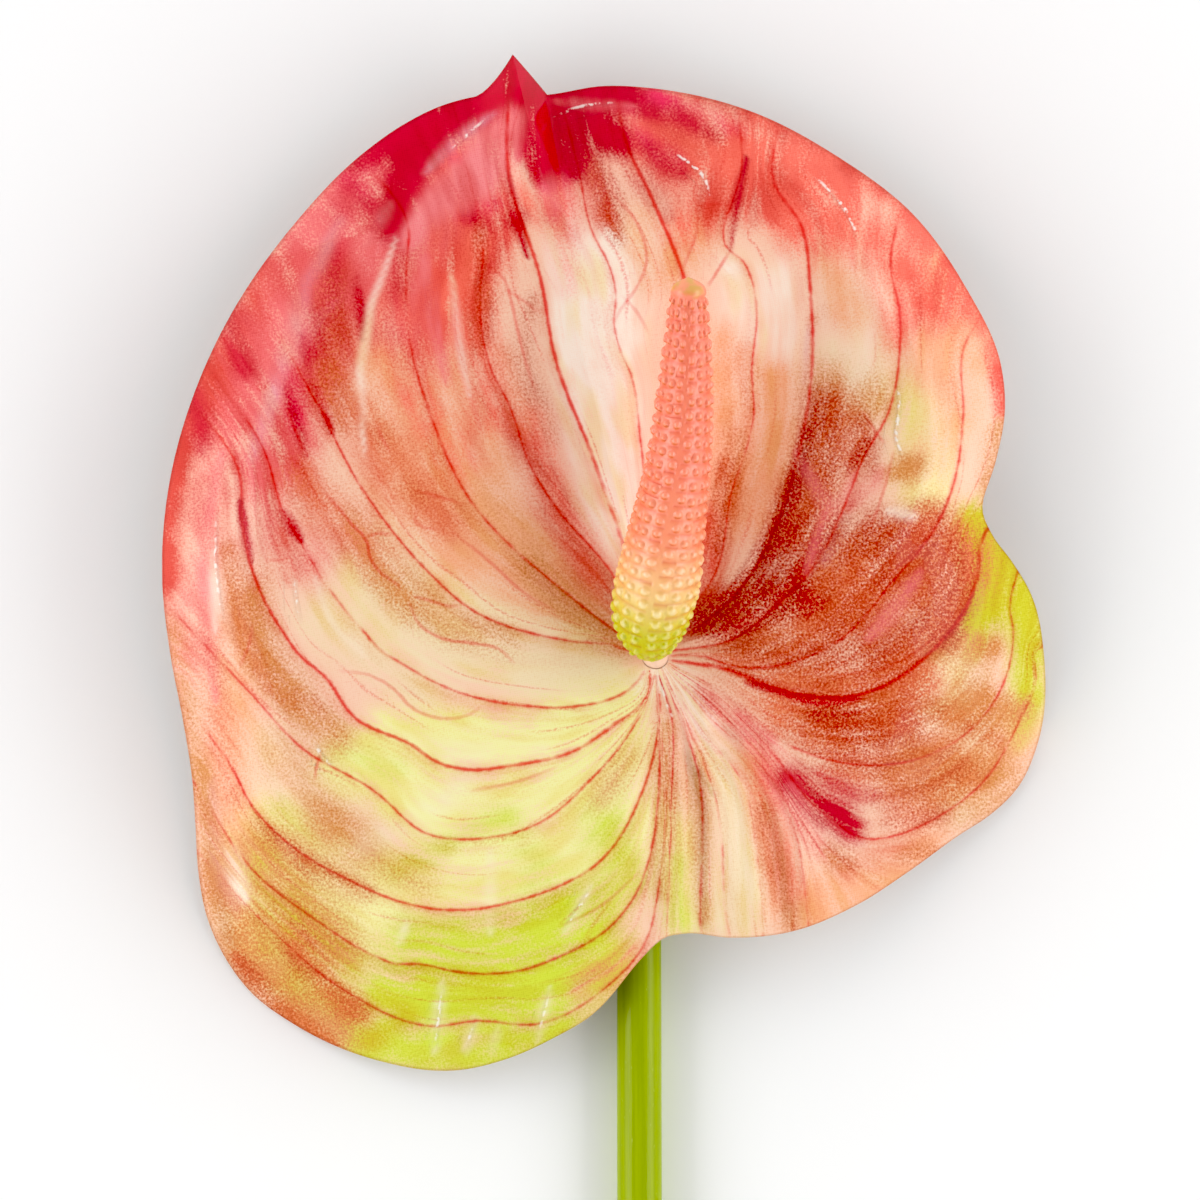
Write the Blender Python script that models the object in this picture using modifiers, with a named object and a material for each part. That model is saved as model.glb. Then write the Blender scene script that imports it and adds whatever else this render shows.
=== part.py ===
"""A cut anthurium stem laid on its back: its stalk, its heart-shaped spathe and its spadix.

The flower looks up along +Z, the tip of the spathe points to +Y, and the stalk runs off along -Y.
Plan positions are taken from the seat, the point where all three pieces meet, and heights from
the surface that the flower lies on. Tables hold millimetres and degrees, and MM turns them into
metres. Bearings run counter-clockwise from +X, seen from above.
"""

import math

import bmesh
import bpy
import numpy as np
from mathutils import Vector

MM = 0.001
WELD_DISTANCE = 0.00001
COLLECTION = "cut_anthurium_stem"

# The seat: the hole in the spathe, and the height of its rim
SEAT_HEIGHT = 16.0
SEAT_TILT = 1.1
HOLE_RADIUS = 2.7
FIT_GAP = 0.3

# The spathe
SPATHE_THICKNESS = 0.8
SPATHE_RINGS = 18
COLUMN_STEP = 4.0
PLEAT_COLUMN_STEP = 3.0
PLEATED_SPAN = (261.0, 312.0)
FUNNEL_POWER = 0.9
ROLL_POWER = 2.0
RIM_CROWDING = 0.12

# How far the margin lies from the seat: (bearing, reach)
OUTLINE = (
    (0, 56.9), (10, 55.6), (15, 54.0), (20, 52.4), (25, 52.7), (30, 57.4), (35, 62.3),
    (40, 66.0), (50, 70.6), (60, 75.0), (70, 77.9), (80, 81.0), (90, 83.1), (95, 83.8),
    (101, 83.7), (107.7, 86.0), (111, 86.4), (115, 86.1), (120, 85.1), (130, 82.3),
    (140, 79.9), (150, 77.6),
    (160, 75.4), (170, 73.1), (180, 70.7), (187, 69.6), (195, 70.0), (200, 71.5),
    (205, 73.7), (210, 75.7), (215, 76.7), (220, 76.7), (225, 75.4), (235, 71.7),
    (245, 66.4), (250, 62.2), (255, 57.5), (260, 52.9), (267, 44.3), (271, 41.2), (276, 40.4),
    (285, 42.2), (295, 44.3), (310, 46.7), (320, 48.5), (330, 51.6), (335, 54.2),
    (340, 56.3), (347, 57.4),
)

# The cusp at the tip: where it starts and ends, and how far its point stands out
CUSP_START = 100.84
CUSP_POINT = 103.27
CUSP_END = 107.7
CUSP_LENGTH = 6.1
CUSP_LEFT_POWER = 1.5
CUSP_COLUMNS = (98.4, 100.84, 102.1, 103.27, 104.4, 105.6, 107.7)

# The dome along each bearing: (bearing, crest height, crest place, margin height),
# where the place is a share of the way from the seat to the margin
DOME = (
    (0, 20.6, 0.60, 5.0), (18, 21.5, 0.66, 10.5), (32, 23.5, 0.74, 10.0),
    (50, 25.0, 0.78, 8.5), (75, 25.5, 0.78, 8.5), (103, 25.0, 0.76, 10.5),
    (130, 26.0, 0.80, 9.0), (160, 26.0, 0.80, 8.5), (185, 25.0, 0.76, 6.5),
    (202, 24.0, 0.68, 3.2), (218, 22.6, 0.56, 0.55), (236, 21.8, 0.52, 2.3),
    (255, 20.0, 0.50, 7.5), (272, 18.4, 0.42, 11.8), (292, 18.6, 0.50, 11.6),
    (315, 19.2, 0.52, 6.5), (335, 19.6, 0.56, 2.3), (350, 20.0, 0.58, 1.15),
)

# Ridges and furrows pressed into the dome: (name, height, half width, points along it)
FOLDS = (
    ("tip_keel", 1.5, 4.2, ((-21.0, 82.0), (-20.0, 72.0), (-18.5, 64.0))),
    ("tip_left_edge", 1.1, 3.6, ((-20.5, 80.0), (-28.5, 72.0), (-36.3, 62.5))),
    ("tip_right_hollow", -1.5, 4.6, ((-13.5, 79.0), (-12.5, 70.0))),
    ("tip_left_hollow", -1.0, 4.0, ((-28.0, 78.5), (-38.5, 68.5))),
    ("left_crease", -1.7, 2.0, ((-66.7, -7.6), (-64.5, -18.0), (-63.5, -30.0), (-61.0, -41.0))),
    ("left_swell", 0.7, 7.0, ((-52.0, 20.0), (-56.0, -2.0), (-53.0, -22.0))),
    ("sinus_ridge_left", 1.3, 2.1, ((2.2, -9.0), (3.0, -22.0), (3.2, -37.0))),
    ("sinus_furrow_left", -1.3, 1.9, ((3.6, -9.0), (7.0, -22.0), (7.0, -38.0))),
    ("sinus_ridge_middle", 1.7, 2.9, ((5.6, -9.0), (12.6, -20.0), (14.8, -36.0))),
    ("sinus_furrow_right", -1.5, 2.6, ((10.0, -11.0), (17.0, -22.0), (19.0, -36.0))),
    ("sinus_ridge_right", 1.5, 2.8, ((15.5, -14.0), (20.6, -26.0), (22.2, -38.5))),
    ("lower_right_hollow", -0.9, 5.0, ((20.0, -12.0), (28.0, -24.0), (32.0, -32.0))),
    ("waist_swell", 0.9, 5.0, ((24.0, 26.0), (38.0, 27.0), (46.0, 26.0))),
    ("lobe_furrow_upper", -0.7, 3.2, ((40.0, 3.0), (54.0, 1.0))),
    ("lobe_swell_upper", 0.6, 3.2, ((40.0, -3.5), (55.0, -4.0))),
    ("lobe_furrow_middle", -0.7, 3.0, ((38.0, -9.0), (54.0, -11.0))),
    ("lobe_furrow_lower", -0.6, 3.0, ((36.0, -14.0), (48.0, -19.0))),
    ("lower_left_wave_a", -0.6, 3.0, ((-26.0, -42.0), (-31.0, -55.0))),
    ("lower_left_wave_b", -0.6, 3.0, ((-14.0, -42.0), (-16.0, -52.0))),
)

# The stalk, from its cut end to the peg that the spadix sits on
STEM_RADIUS = 3.25
STEM_SIDES = 16
STEM_OFFSET = -2.3
STEM_LENGTH = 400.0
STEM_BASE_SWELL = 0.2
STEM_BOW = 5.0
NECK_LENGTH = 46.0
NECK_RUN = 24.0
NECK_RISE = 9.5
NECK_RADIUS = 2.9
NECK_SLIMS_BY = 0.45
RECEPTACLE_FROM = 0.72
RECEPTACLE_RADIUS = 3.6
RECEPTACLE_SINK = 0.1
PEG_STEP = 0.25
PEG_RADIUS = 1.9
PEG_LENGTH = 4.9
SEAT_ANGLE = 65.0
CUT_ANGLE = 32.0
CUT_MARGIN = 0.6
CUTTER_SIZE = 8
STEM_STATIONS = 12
NECK_STATIONS = 16

# The spadix: its bend, its girth and its rows of florets
SPADIX_LENGTH = 60.4
SPADIX_LIFT = ((0.0, 63.0), (0.08, 50.0), (0.22, 30.0), (0.45, 19.0), (1.0, 14.0))
SPADIX_SWING = (
    (0.0, 116.0), (0.06, 100.0), (0.14, 82.0), (0.3, 80.0), (0.5, 81.0), (0.65, 85.5),
    (0.82, 87.5), (1.0, 91.0),
)
SPADIX_GIRTH = (
    (0.0, 0.0), (0.012, 1.8), (0.03, 2.9), (0.07, 4.5), (0.13, 5.9), (0.19, 6.4),
    (0.26, 6.4), (0.34, 5.95), (0.46, 5.4), (0.6, 4.8), (0.75, 4.2), (0.88, 3.4),
    (0.95, 2.85), (0.985, 1.75), (1.0, 0.0),
)
FLORET_ROWS = 28
FLORET_COLUMNS = 16
FLORET_HEIGHT = 0.6
FLORET_SPAN = (0.05, 0.965)

# Finishes: the name of each piece, with its colour and roughness
FINISHES = {
    "peduncle": ((0.30, 0.45, 0.02), 0.32),
    "spathe": ((0.85, 0.24, 0.16), 0.28),
    "spadix": ((0.95, 0.32, 0.17), 0.42),
}


def clear_scene():
    for item in list(bpy.data.objects):
        bpy.data.objects.remove(item, do_unlink=True)


def new_collection(name, hidden=False):
    made = bpy.data.collections.new(name)
    bpy.context.scene.collection.children.link(made)
    made.hide_render = hidden
    return made


def finish(name):
    """The plain surface of one piece, with its colour and gloss."""
    colour, roughness = FINISHES[name]
    made = bpy.data.materials.new(name)
    made.use_nodes = True
    shader = made.node_tree.nodes["Principled BSDF"]
    shader.inputs["Base Color"].default_value = (*colour, 1.0)
    shader.inputs["Roughness"].default_value = roughness
    shader.inputs["Metallic"].default_value = 0.0
    made.diffuse_color = (*colour, 1.0)
    return made


def add_piece(name, mesh, collection):
    piece = bpy.data.objects.new(name, mesh)
    collection.objects.link(piece)
    mesh.materials.append(finish(name))
    mesh.shade_smooth()
    return piece


def through_points(places, values, at):
    """The smooth curve through (place, value) points, read at one place or at many."""
    places = np.asarray(places, float)
    values = np.asarray(values, float)
    slopes = np.gradient(values, places)
    at = np.clip(np.asarray(at, float), places[0], places[-1])
    left = np.clip(np.searchsorted(places, at, side="right") - 1, 0, len(places) - 2)
    width = places[left + 1] - places[left]
    t = (at - places[left]) / width
    start = (1 + 2 * t) * (1 - t) ** 2 * values[left] + t * (1 - t) ** 2 * width * slopes[left]
    end = t**2 * (3 - 2 * t) * values[left + 1] - t**2 * (1 - t) * width * slopes[left + 1]
    return start + end


def around(table, column, bearing):
    """One column of a table by bearing, smooth all the way round."""
    places = np.array([row[0] for row in table], float)
    values = np.array([row[column] for row in table], float)
    places = np.concatenate([places - 360, places, places + 360])
    return through_points(places, np.tile(values, 3), np.mod(bearing, 360))


def reach(bearing):
    """How far the margin of the spathe lies from the seat."""
    bearing = np.asarray(bearing, float)
    rise = np.clip((bearing - CUSP_START) / (CUSP_POINT - CUSP_START), 0, 1)
    fall = np.clip((CUSP_END - bearing) / (CUSP_END - CUSP_POINT), 0, 1) ** CUSP_LEFT_POWER
    return around(OUTLINE, 1, bearing) + CUSP_LENGTH * np.minimum(rise, fall)


def distance_to_path(x, y, path):
    """How far each point of the plan lies from a line through the path's points."""
    nearest = np.full(np.shape(x), np.inf)
    for (ax, ay), (bx, by) in zip(path, path[1:]):
        length = (bx - ax) ** 2 + (by - ay) ** 2
        t = np.clip(((x - ax) * (bx - ax) + (y - ay) * (by - ay)) / length, 0, 1)
        nearest = np.minimum(nearest, np.hypot(x - ax - t * (bx - ax), y - ay - t * (by - ay)))
    return nearest


def spathe_height(bearing, radius):
    """The height of the spathe's upper face at a bearing and a distance from the seat."""
    share = radius / reach(bearing)
    crest = around(DOME, 1, bearing)
    crest_place = around(DOME, 2, bearing)
    margin = around(DOME, 3, bearing)
    seat = SEAT_HEIGHT - SEAT_TILT * np.sin(np.radians(bearing))
    climb = np.sin(math.pi / 2 * np.clip(share / crest_place, 0, 1) ** FUNNEL_POWER)
    roll = np.clip((share - crest_place) / (1 - crest_place), 0, 1) ** ROLL_POWER
    height = seat + (crest - seat) * climb - (crest - margin) * roll
    x = radius * np.cos(np.radians(bearing))
    y = radius * np.sin(np.radians(bearing))
    for _, lift, half_width, path in FOLDS:
        height = height + lift * np.exp(-((distance_to_path(x, y, path) / half_width) ** 2))
    return height


def spathe_bearings():
    """The columns of the spathe: even steps, finer over the pleats and at the cusp."""
    low, high = PLEATED_SPAN
    steps = [b for b in np.arange(0, 360, COLUMN_STEP) if not low <= b <= high]
    steps = [b for b in steps if not CUSP_COLUMNS[0] - 2 < b < CUSP_COLUMNS[-1] + 2]
    return sorted([*steps, *np.arange(low, high, PLEAT_COLUMN_STEP), *CUSP_COLUMNS])


def make_spathe(collection):
    """An open sheet in rings round the seat, cut into triangles and then given its thickness."""
    shell = bmesh.new()
    bearings = spathe_bearings()
    rings = []
    for step in range(SPATHE_RINGS + 1):
        t = step / SPATHE_RINGS
        share = t + RIM_CROWDING * math.sin(math.pi * t)
        ring = []
        for bearing in bearings:
            radius = HOLE_RADIUS + (float(reach(bearing)) - HOLE_RADIUS) * share
            height = float(spathe_height(bearing, radius))
            angle = math.radians(bearing)
            place = Vector((radius * math.cos(angle), radius * math.sin(angle), height))
            ring.append(shell.verts.new(place * MM))
        rings.append(ring)
    for inner, outer in zip(rings, rings[1:]):
        for k in range(len(bearings)):
            following = (k + 1) % len(bearings)
            shell.faces.new((inner[k], outer[k], outer[following], inner[following]))
    bmesh.ops.triangulate(shell, faces=shell.faces[:])
    mesh = bpy.data.meshes.new("spathe")
    shell.to_mesh(mesh)
    shell.free()
    spathe = add_piece("spathe", mesh, collection)
    thicken = spathe.modifiers.new("thickness", "SOLIDIFY")
    thicken.thickness = SPATHE_THICKNESS * MM
    thicken.offset = -1
    return spathe


def seat_direction():
    """Which way the peg points: up, leaning towards the tip of the spathe."""
    lean = math.radians(SEAT_ANGLE)
    return Vector((0.0, math.cos(lean), math.sin(lean)))


def receptacle_top():
    """The middle of the receptacle's top, set so that the peg runs through the hole's middle."""
    drop = SPATHE_THICKNESS + FIT_GAP + RECEPTACLE_SINK
    return Vector((0.0, -drop / math.tan(math.radians(SEAT_ANGLE)), SEAT_HEIGHT - drop))


def stem_stations():
    """The stalk's middle line as (point, radius), from the cut end to the end of the peg."""
    up = seat_direction()
    top = receptacle_top()
    rest = math.cos(math.pi / STEM_SIDES)  # the stalk lies on one of its flats
    start = Vector((STEM_OFFSET, -NECK_LENGTH, STEM_RADIUS * rest))
    leave = start + Vector((0.0, NECK_RUN, 0.0))
    arrive = top - up * NECK_RISE
    stations = []
    for step in range(STEM_STATIONS):
        t = 1 - step / STEM_STATIONS
        radius = STEM_RADIUS + STEM_BASE_SWELL * t
        x = STEM_OFFSET + STEM_BOW * t**2
        y = -NECK_LENGTH - t * (STEM_LENGTH - NECK_LENGTH)
        stations.append((Vector((x, y, radius * rest)), radius))
    for step in range(NECK_STATIONS + 1):
        t = step / NECK_STATIONS
        point = (
            start * (1 - t) ** 3
            + leave * (3 * t * (1 - t) ** 2)
            + arrive * (3 * t**2 * (1 - t))
            + top * t**3
        )
        slimming = (STEM_RADIUS - NECK_RADIUS) * min(1.0, t / NECK_SLIMS_BY)
        flare = max(0.0, (t - RECEPTACLE_FROM) / (1 - RECEPTACLE_FROM)) ** 2
        swelling = (RECEPTACLE_RADIUS - NECK_RADIUS) * flare
        stations.append((point, STEM_RADIUS - slimming + swelling))
    stations.append((top + up * PEG_STEP, PEG_RADIUS))
    stations.append((top + up * PEG_LENGTH, PEG_RADIUS))
    return stations


def make_peduncle(collection, cutters):
    """A tube along the stalk's middle line, made a mesh, with its lower end cut on a slant."""
    stations = stem_stations()
    curve = bpy.data.curves.new("peduncle_line", "CURVE")
    curve.dimensions = "3D"
    curve.bevel_depth = MM
    curve.bevel_resolution = STEM_SIDES // 2 - 2
    curve.use_fill_caps = True
    curve.twist_mode = "Z_UP"
    line = curve.splines.new("POLY")
    line.points.add(len(stations) - 1)
    for point, (place, radius) in zip(line.points, stations):
        point.co = (*(place * MM), 1.0)
        point.radius = radius
        point.tilt = math.pi / STEM_SIDES
    guide = bpy.data.objects.new("peduncle_line", curve)
    collection.objects.link(guide)
    bpy.context.view_layer.update()
    evaluated = guide.evaluated_get(bpy.context.evaluated_depsgraph_get())
    mesh = bpy.data.meshes.new_from_object(evaluated)
    mesh.name = "peduncle"
    mesh.materials.clear()
    bpy.data.objects.remove(guide, do_unlink=True)
    tube = bmesh.new()
    tube.from_mesh(mesh)
    bmesh.ops.remove_doubles(tube, verts=tube.verts[:], dist=WELD_DISTANCE)
    bmesh.ops.recalc_face_normals(tube, faces=tube.faces[:])
    tube.to_mesh(mesh)
    tube.free()
    peduncle = add_piece("peduncle", mesh, collection)
    cut = peduncle.modifiers.new("slanted_cut", "BOOLEAN")
    cut.operation = "DIFFERENCE"
    cut.object = slanted_cutter(cutters)
    return peduncle


def slanted_cutter(cutters):
    """The block that takes the end off the stalk, its face leaning back over the cut."""
    side = CUTTER_SIZE * STEM_RADIUS
    block = bmesh.new()
    bmesh.ops.create_cube(block, size=side * MM)
    mesh = bpy.data.meshes.new("slanted_cutter")
    block.to_mesh(mesh)
    block.free()
    cutter = bpy.data.objects.new("slanted_cutter", mesh)
    cutters.objects.link(cutter)
    lean = math.radians(CUT_ANGLE)
    end = stem_stations()[0][0]
    heel = end + Vector((0.0, CUT_MARGIN + STEM_RADIUS * math.tan(lean), 0.0))
    cutter.rotation_euler = (-lean, 0.0, 0.0)
    cutter.location = (heel + Vector((0.0, -math.cos(lean), math.sin(lean))) * (side / 2)) * MM
    cutter.hide_render = True
    cutter.display_type = "WIRE"
    return cutter


def spadix_line(count):
    """Points along the spadix's middle, and at each one the way it runs."""
    start = receptacle_top() + seat_direction() * (PEG_LENGTH + FIT_GAP)
    step = SPADIX_LENGTH / (count - 1)
    shares = np.linspace(0, 1, count)
    lift = np.radians(through_points(*zip(*SPADIX_LIFT), shares))
    swing = np.radians(through_points(*zip(*SPADIX_SWING), shares))
    ways = np.stack([np.cos(lift) * np.cos(swing), np.cos(lift) * np.sin(swing), np.sin(lift)], 1)
    middle = (ways[1:] + ways[:-1]) / 2 * step
    places = np.array(start) + np.concatenate([np.zeros((1, 3)), np.cumsum(middle, axis=0)])
    return places, ways


def make_spadix(collection):
    """A ball drawn out along the spadix's bend, with a floret raised at every other crossing."""
    around_count = 2 * FLORET_COLUMNS
    along_count = 2 * FLORET_ROWS + 4
    ball = bmesh.new()
    bmesh.ops.create_uvsphere(ball, u_segments=around_count, v_segments=along_count, radius=1.0)
    places, ways = spadix_line(along_count + 1)
    girths = through_points(*zip(*SPADIX_GIRTH), np.linspace(0, 1, along_count + 1))
    side = Vector((1.0, 0.0, 0.0))
    low, high = FLORET_SPAN
    for vertex in ball.verts:
        polar = math.acos(np.clip(-vertex.co.z, -1, 1))
        row = round(polar / math.pi * along_count)
        angle = math.atan2(vertex.co.y, vertex.co.x)
        column = round(angle / (2 * math.pi) * around_count)
        way = Vector(ways[row])
        across = (side - way * side.dot(way)).normalized()
        over = across.cross(way) * -1
        radius = float(girths[row])
        on_floret = row % 2 == 1 and column % 2 == 0
        if low <= row / along_count <= high and not on_floret:
            radius -= FLORET_HEIGHT
        offset = across * (radius * math.cos(angle)) + over * (radius * math.sin(angle))
        vertex.co = (Vector(places[row]) + offset) * MM
    bmesh.ops.recalc_face_normals(ball, faces=ball.faces[:])
    bmesh.ops.triangulate(ball, faces=ball.faces[:])
    mesh = bpy.data.meshes.new("spadix")
    ball.to_mesh(mesh)
    ball.free()
    return add_piece("spadix", mesh, collection)


def settle(pieces):
    """Hangs the pieces on one empty, which puts the middle of their box over the origin."""
    bpy.context.view_layer.update()
    graph = bpy.context.evaluated_depsgraph_get()
    corners = []
    for piece in pieces:
        shape = piece.evaluated_get(graph).to_mesh()
        corners += [vertex.co.copy() for vertex in shape.vertices]
    low = Vector(min(c[k] for c in corners) for k in range(3))
    high = Vector(max(c[k] for c in corners) for k in range(3))
    middle = bpy.data.objects.new("flower", None)
    bpy.context.scene.collection.objects.link(middle)
    middle.location = (-(low.x + high.x) / 2, -(low.y + high.y) / 2, -low.z)
    for piece in pieces:
        piece.parent = middle


def main():
    clear_scene()
    parts = new_collection(COLLECTION)
    cutters = new_collection("cutters", hidden=True)
    pieces = [make_peduncle(parts, cutters), make_spathe(parts), make_spadix(parts)]
    settle(pieces)
    for item in cutters.objects:
        item.parent = pieces[0].parent


main()
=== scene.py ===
# %% [markdown]
# # A cut anthurium stem
# One flower lies on its back: a smooth green stalk, one big heart-shaped bract called the spathe,
# and the finger of tiny florets called the spadix. The construction is already packed as three
# plain solids. This lesson dresses them: each solid gets a finer mesh of the same form, and a
# finish built only from nodes. We load the imported solids first, because everything is placed
# from them, and keep their box: the new meshes are clipped to it.

# %% The imported solids
import math

import bpy
import numpy as np
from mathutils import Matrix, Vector, noise


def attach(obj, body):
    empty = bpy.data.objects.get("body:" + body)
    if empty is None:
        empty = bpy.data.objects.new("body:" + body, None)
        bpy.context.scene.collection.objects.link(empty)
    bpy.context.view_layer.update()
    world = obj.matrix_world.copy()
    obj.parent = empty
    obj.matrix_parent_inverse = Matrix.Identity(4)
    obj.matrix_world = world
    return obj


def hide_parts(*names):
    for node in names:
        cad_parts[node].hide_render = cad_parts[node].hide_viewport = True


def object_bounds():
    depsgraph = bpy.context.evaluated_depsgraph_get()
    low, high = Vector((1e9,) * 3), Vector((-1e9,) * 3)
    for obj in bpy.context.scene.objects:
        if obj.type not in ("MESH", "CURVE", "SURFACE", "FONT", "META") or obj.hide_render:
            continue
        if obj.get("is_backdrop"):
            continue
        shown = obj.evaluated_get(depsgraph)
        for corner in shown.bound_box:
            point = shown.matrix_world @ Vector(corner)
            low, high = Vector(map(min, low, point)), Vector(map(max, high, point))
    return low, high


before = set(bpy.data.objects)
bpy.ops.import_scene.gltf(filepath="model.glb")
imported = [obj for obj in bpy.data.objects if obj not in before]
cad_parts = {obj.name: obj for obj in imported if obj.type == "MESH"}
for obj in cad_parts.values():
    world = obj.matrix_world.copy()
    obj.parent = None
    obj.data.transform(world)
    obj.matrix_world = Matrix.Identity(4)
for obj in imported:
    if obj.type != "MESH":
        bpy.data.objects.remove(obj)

MM = 0.001
BODY = "root"
cad_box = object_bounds()
print("solids:", sorted(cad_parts), "box in mm:", [round(side / MM, 1) for side in cad_box[1]])

# %% [markdown]
# ## Where things are measured from
# All three pieces meet at the seat, the small hole in the spathe that the spadix stands on. The
# tables below are in millimetres from the seat and in degrees counter-clockwise from +X, because
# a flower grows outwards from there. One function turns such places into scene metres.

# %% The seat
SEAT = (7.419, 155.716)
SEAT_HEIGHT = 16.0
SEAT_TILT = 1.1
HOLE_RADIUS = 2.7


def placed(points):
    """Millimetres from the seat become metres in the frame."""
    return (np.asarray(points, float) + np.array([*SEAT, 0.0])) * MM


print("the seat is at", placed([0.0, 0.0, SEAT_HEIGHT]).round(4), "m")

# %% [markdown]
# ## Smooth curves from few points
# A petal's outline could be a Bezier curve drawn by hand. A table of measured places with a
# smooth curve through them is easier to check against a ruler, and can be read at any bearing.

# %% Curves


def through_points(places, values, at):
    """The smooth curve through (place, value) points, read at one place or at many."""
    places = np.asarray(places, float)
    values = np.asarray(values, float)
    slopes = np.gradient(values, places)
    at = np.clip(np.asarray(at, float), places[0], places[-1])
    left = np.clip(np.searchsorted(places, at, side="right") - 1, 0, len(places) - 2)
    width = places[left + 1] - places[left]
    t = (at - places[left]) / width
    start = (1 + 2 * t) * (1 - t) ** 2 * values[left] + t * (1 - t) ** 2 * width * slopes[left]
    end = t**2 * (3 - 2 * t) * values[left + 1] - t**2 * (1 - t) * width * slopes[left + 1]
    return start + end


def around(table, column, bearing):
    """One column of a table by bearing, smooth all the way round."""
    places = np.array([row[0] for row in table], float)
    values = np.array([row[column] for row in table], float)
    places = np.concatenate([places - 360, places, places + 360])
    return through_points(places, np.tile(values, 3), np.mod(bearing, 360))


def smooth_path(points, step):
    """A hand-placed path turned into a smooth one with a point at about every step."""
    points = np.asarray(points, float)
    run = np.concatenate([[0], np.cumsum(np.hypot(*np.diff(points, axis=0).T))])
    at = np.linspace(0, run[-1], max(2, int(run[-1] / step) + 1))
    return np.stack([through_points(run, points[:, k], at) for k in range(2)], 1)


print("halfway between 0 and 1:", through_points((0, 1, 2), (0, 1, 0), 0.5))

# %% [markdown]
# ## The form of the spathe
# The real spathe is one leathery sheet: it climbs out of the seat as a shallow funnel, crests,
# and rolls over to a thin margin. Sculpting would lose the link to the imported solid. So the same
# tables and formulas that shaped the solid are used again, and only read at far more places.

# %% Outline, dome and folds
OUTLINE = (
    (0, 56.9), (10, 55.6), (15, 54), (20, 52.4), (25, 52.7), (30, 57.4), (35, 62.3),
    (40, 66), (50, 70.6), (60, 75), (70, 77.9), (80, 81), (90, 83.1), (95, 83.8),
    (101, 83.7), (107.7, 86), (111, 86.4), (115, 86.1), (120, 85.1), (130, 82.3),
    (140, 79.9), (150, 77.6),
    (160, 75.4), (170, 73.1), (180, 70.7), (187, 69.6), (195, 70), (200, 71.5),
    (205, 73.7), (210, 75.7), (215, 76.7), (220, 76.7), (225, 75.4), (235, 71.7),
    (245, 66.4), (250, 62.2), (255, 57.5), (260, 52.9), (267, 44.3), (271, 41.2), (276, 40.4),
    (285, 42.2), (295, 44.3), (310, 46.7), (320, 48.5), (330, 51.6), (335, 54.2),
    (340, 56.3), (347, 57.4),
)
CUSP_START, CUSP_POINT, CUSP_END = 100.84, 103.27, 107.7
CUSP_LENGTH = 6.1
CUSP_LEFT_POWER = 1.5

# (bearing, crest height, crest place as a share of the way out, margin height)
DOME = (
    (0, 20.6, 0.60, 5), (18, 21.5, 0.66, 10.5), (32, 23.5, 0.74, 10),
    (50, 25, 0.78, 8.5), (75, 25.5, 0.78, 8.5), (103, 25, 0.76, 10.5),
    (130, 26, 0.80, 9), (160, 26, 0.80, 8.5), (185, 25, 0.76, 6.5),
    (202, 24, 0.68, 3.2), (218, 22.6, 0.56, 0.55), (236, 21.8, 0.52, 2.3),
    (255, 20, 0.50, 7.5), (272, 18.4, 0.42, 11.8), (292, 18.6, 0.50, 11.6),
    (315, 19.2, 0.52, 6.5), (335, 19.6, 0.56, 2.3), (350, 20, 0.58, 1.15),
)
FUNNEL_POWER = 0.9
ROLL_POWER = 2.0

# Ridges and furrows: (name, height, half width, points along it)
FOLDS = (
    ("tip_keel", 1.5, 4.2, ((-21, 82), (-20, 72), (-18.5, 64))),
    ("tip_left_edge", 1.1, 3.6, ((-20.5, 80), (-28.5, 72), (-36.3, 62.5))),
    ("tip_right_hollow", -1.5, 4.6, ((-13.5, 79), (-12.5, 70))),
    ("tip_left_hollow", -1, 4, ((-28, 78.5), (-38.5, 68.5))),
    ("left_crease", -1.7, 2, ((-66.7, -7.6), (-64.5, -18), (-63.5, -30), (-61, -41))),
    ("left_swell", 0.7, 7, ((-52, 20), (-56, -2), (-53, -22))),
    ("sinus_ridge_left", 1.3, 2.1, ((2.2, -9), (3, -22), (3.2, -37))),
    ("sinus_furrow_left", -1.3, 1.9, ((3.6, -9), (7, -22), (7, -38))),
    ("sinus_ridge_middle", 1.7, 2.9, ((5.6, -9), (12.6, -20), (14.8, -36))),
    ("sinus_furrow_right", -1.5, 2.6, ((10, -11), (17, -22), (19, -36))),
    ("sinus_ridge_right", 1.5, 2.8, ((15.5, -14), (20.6, -26), (22.2, -38.5))),
    ("lower_right_hollow", -0.9, 5, ((20, -12), (28, -24), (32, -32))),
    ("waist_swell", 0.9, 5, ((24, 26), (38, 27), (46, 26))),
    ("lobe_furrow_upper", -0.7, 3.2, ((40, 3), (54, 1))),
    ("lobe_swell_upper", 0.6, 3.2, ((40, -3.5), (55, -4))),
    ("lobe_furrow_middle", -0.7, 3, ((38, -9), (54, -11))),
    ("lobe_furrow_lower", -0.6, 3, ((36, -14), (48, -19))),
    ("lower_left_wave_a", -0.6, 3, ((-26, -42), (-31, -55))),
    ("lower_left_wave_b", -0.6, 3, ((-14, -42), (-16, -52))),
)


def reach(bearing):
    """How far the margin of the spathe lies from the seat."""
    bearing = np.asarray(bearing, float)
    rise = np.clip((bearing - CUSP_START) / (CUSP_POINT - CUSP_START), 0, 1)
    fall = np.clip((CUSP_END - bearing) / (CUSP_END - CUSP_POINT), 0, 1) ** CUSP_LEFT_POWER
    return around(OUTLINE, 1, bearing) + CUSP_LENGTH * np.minimum(rise, fall)


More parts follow.
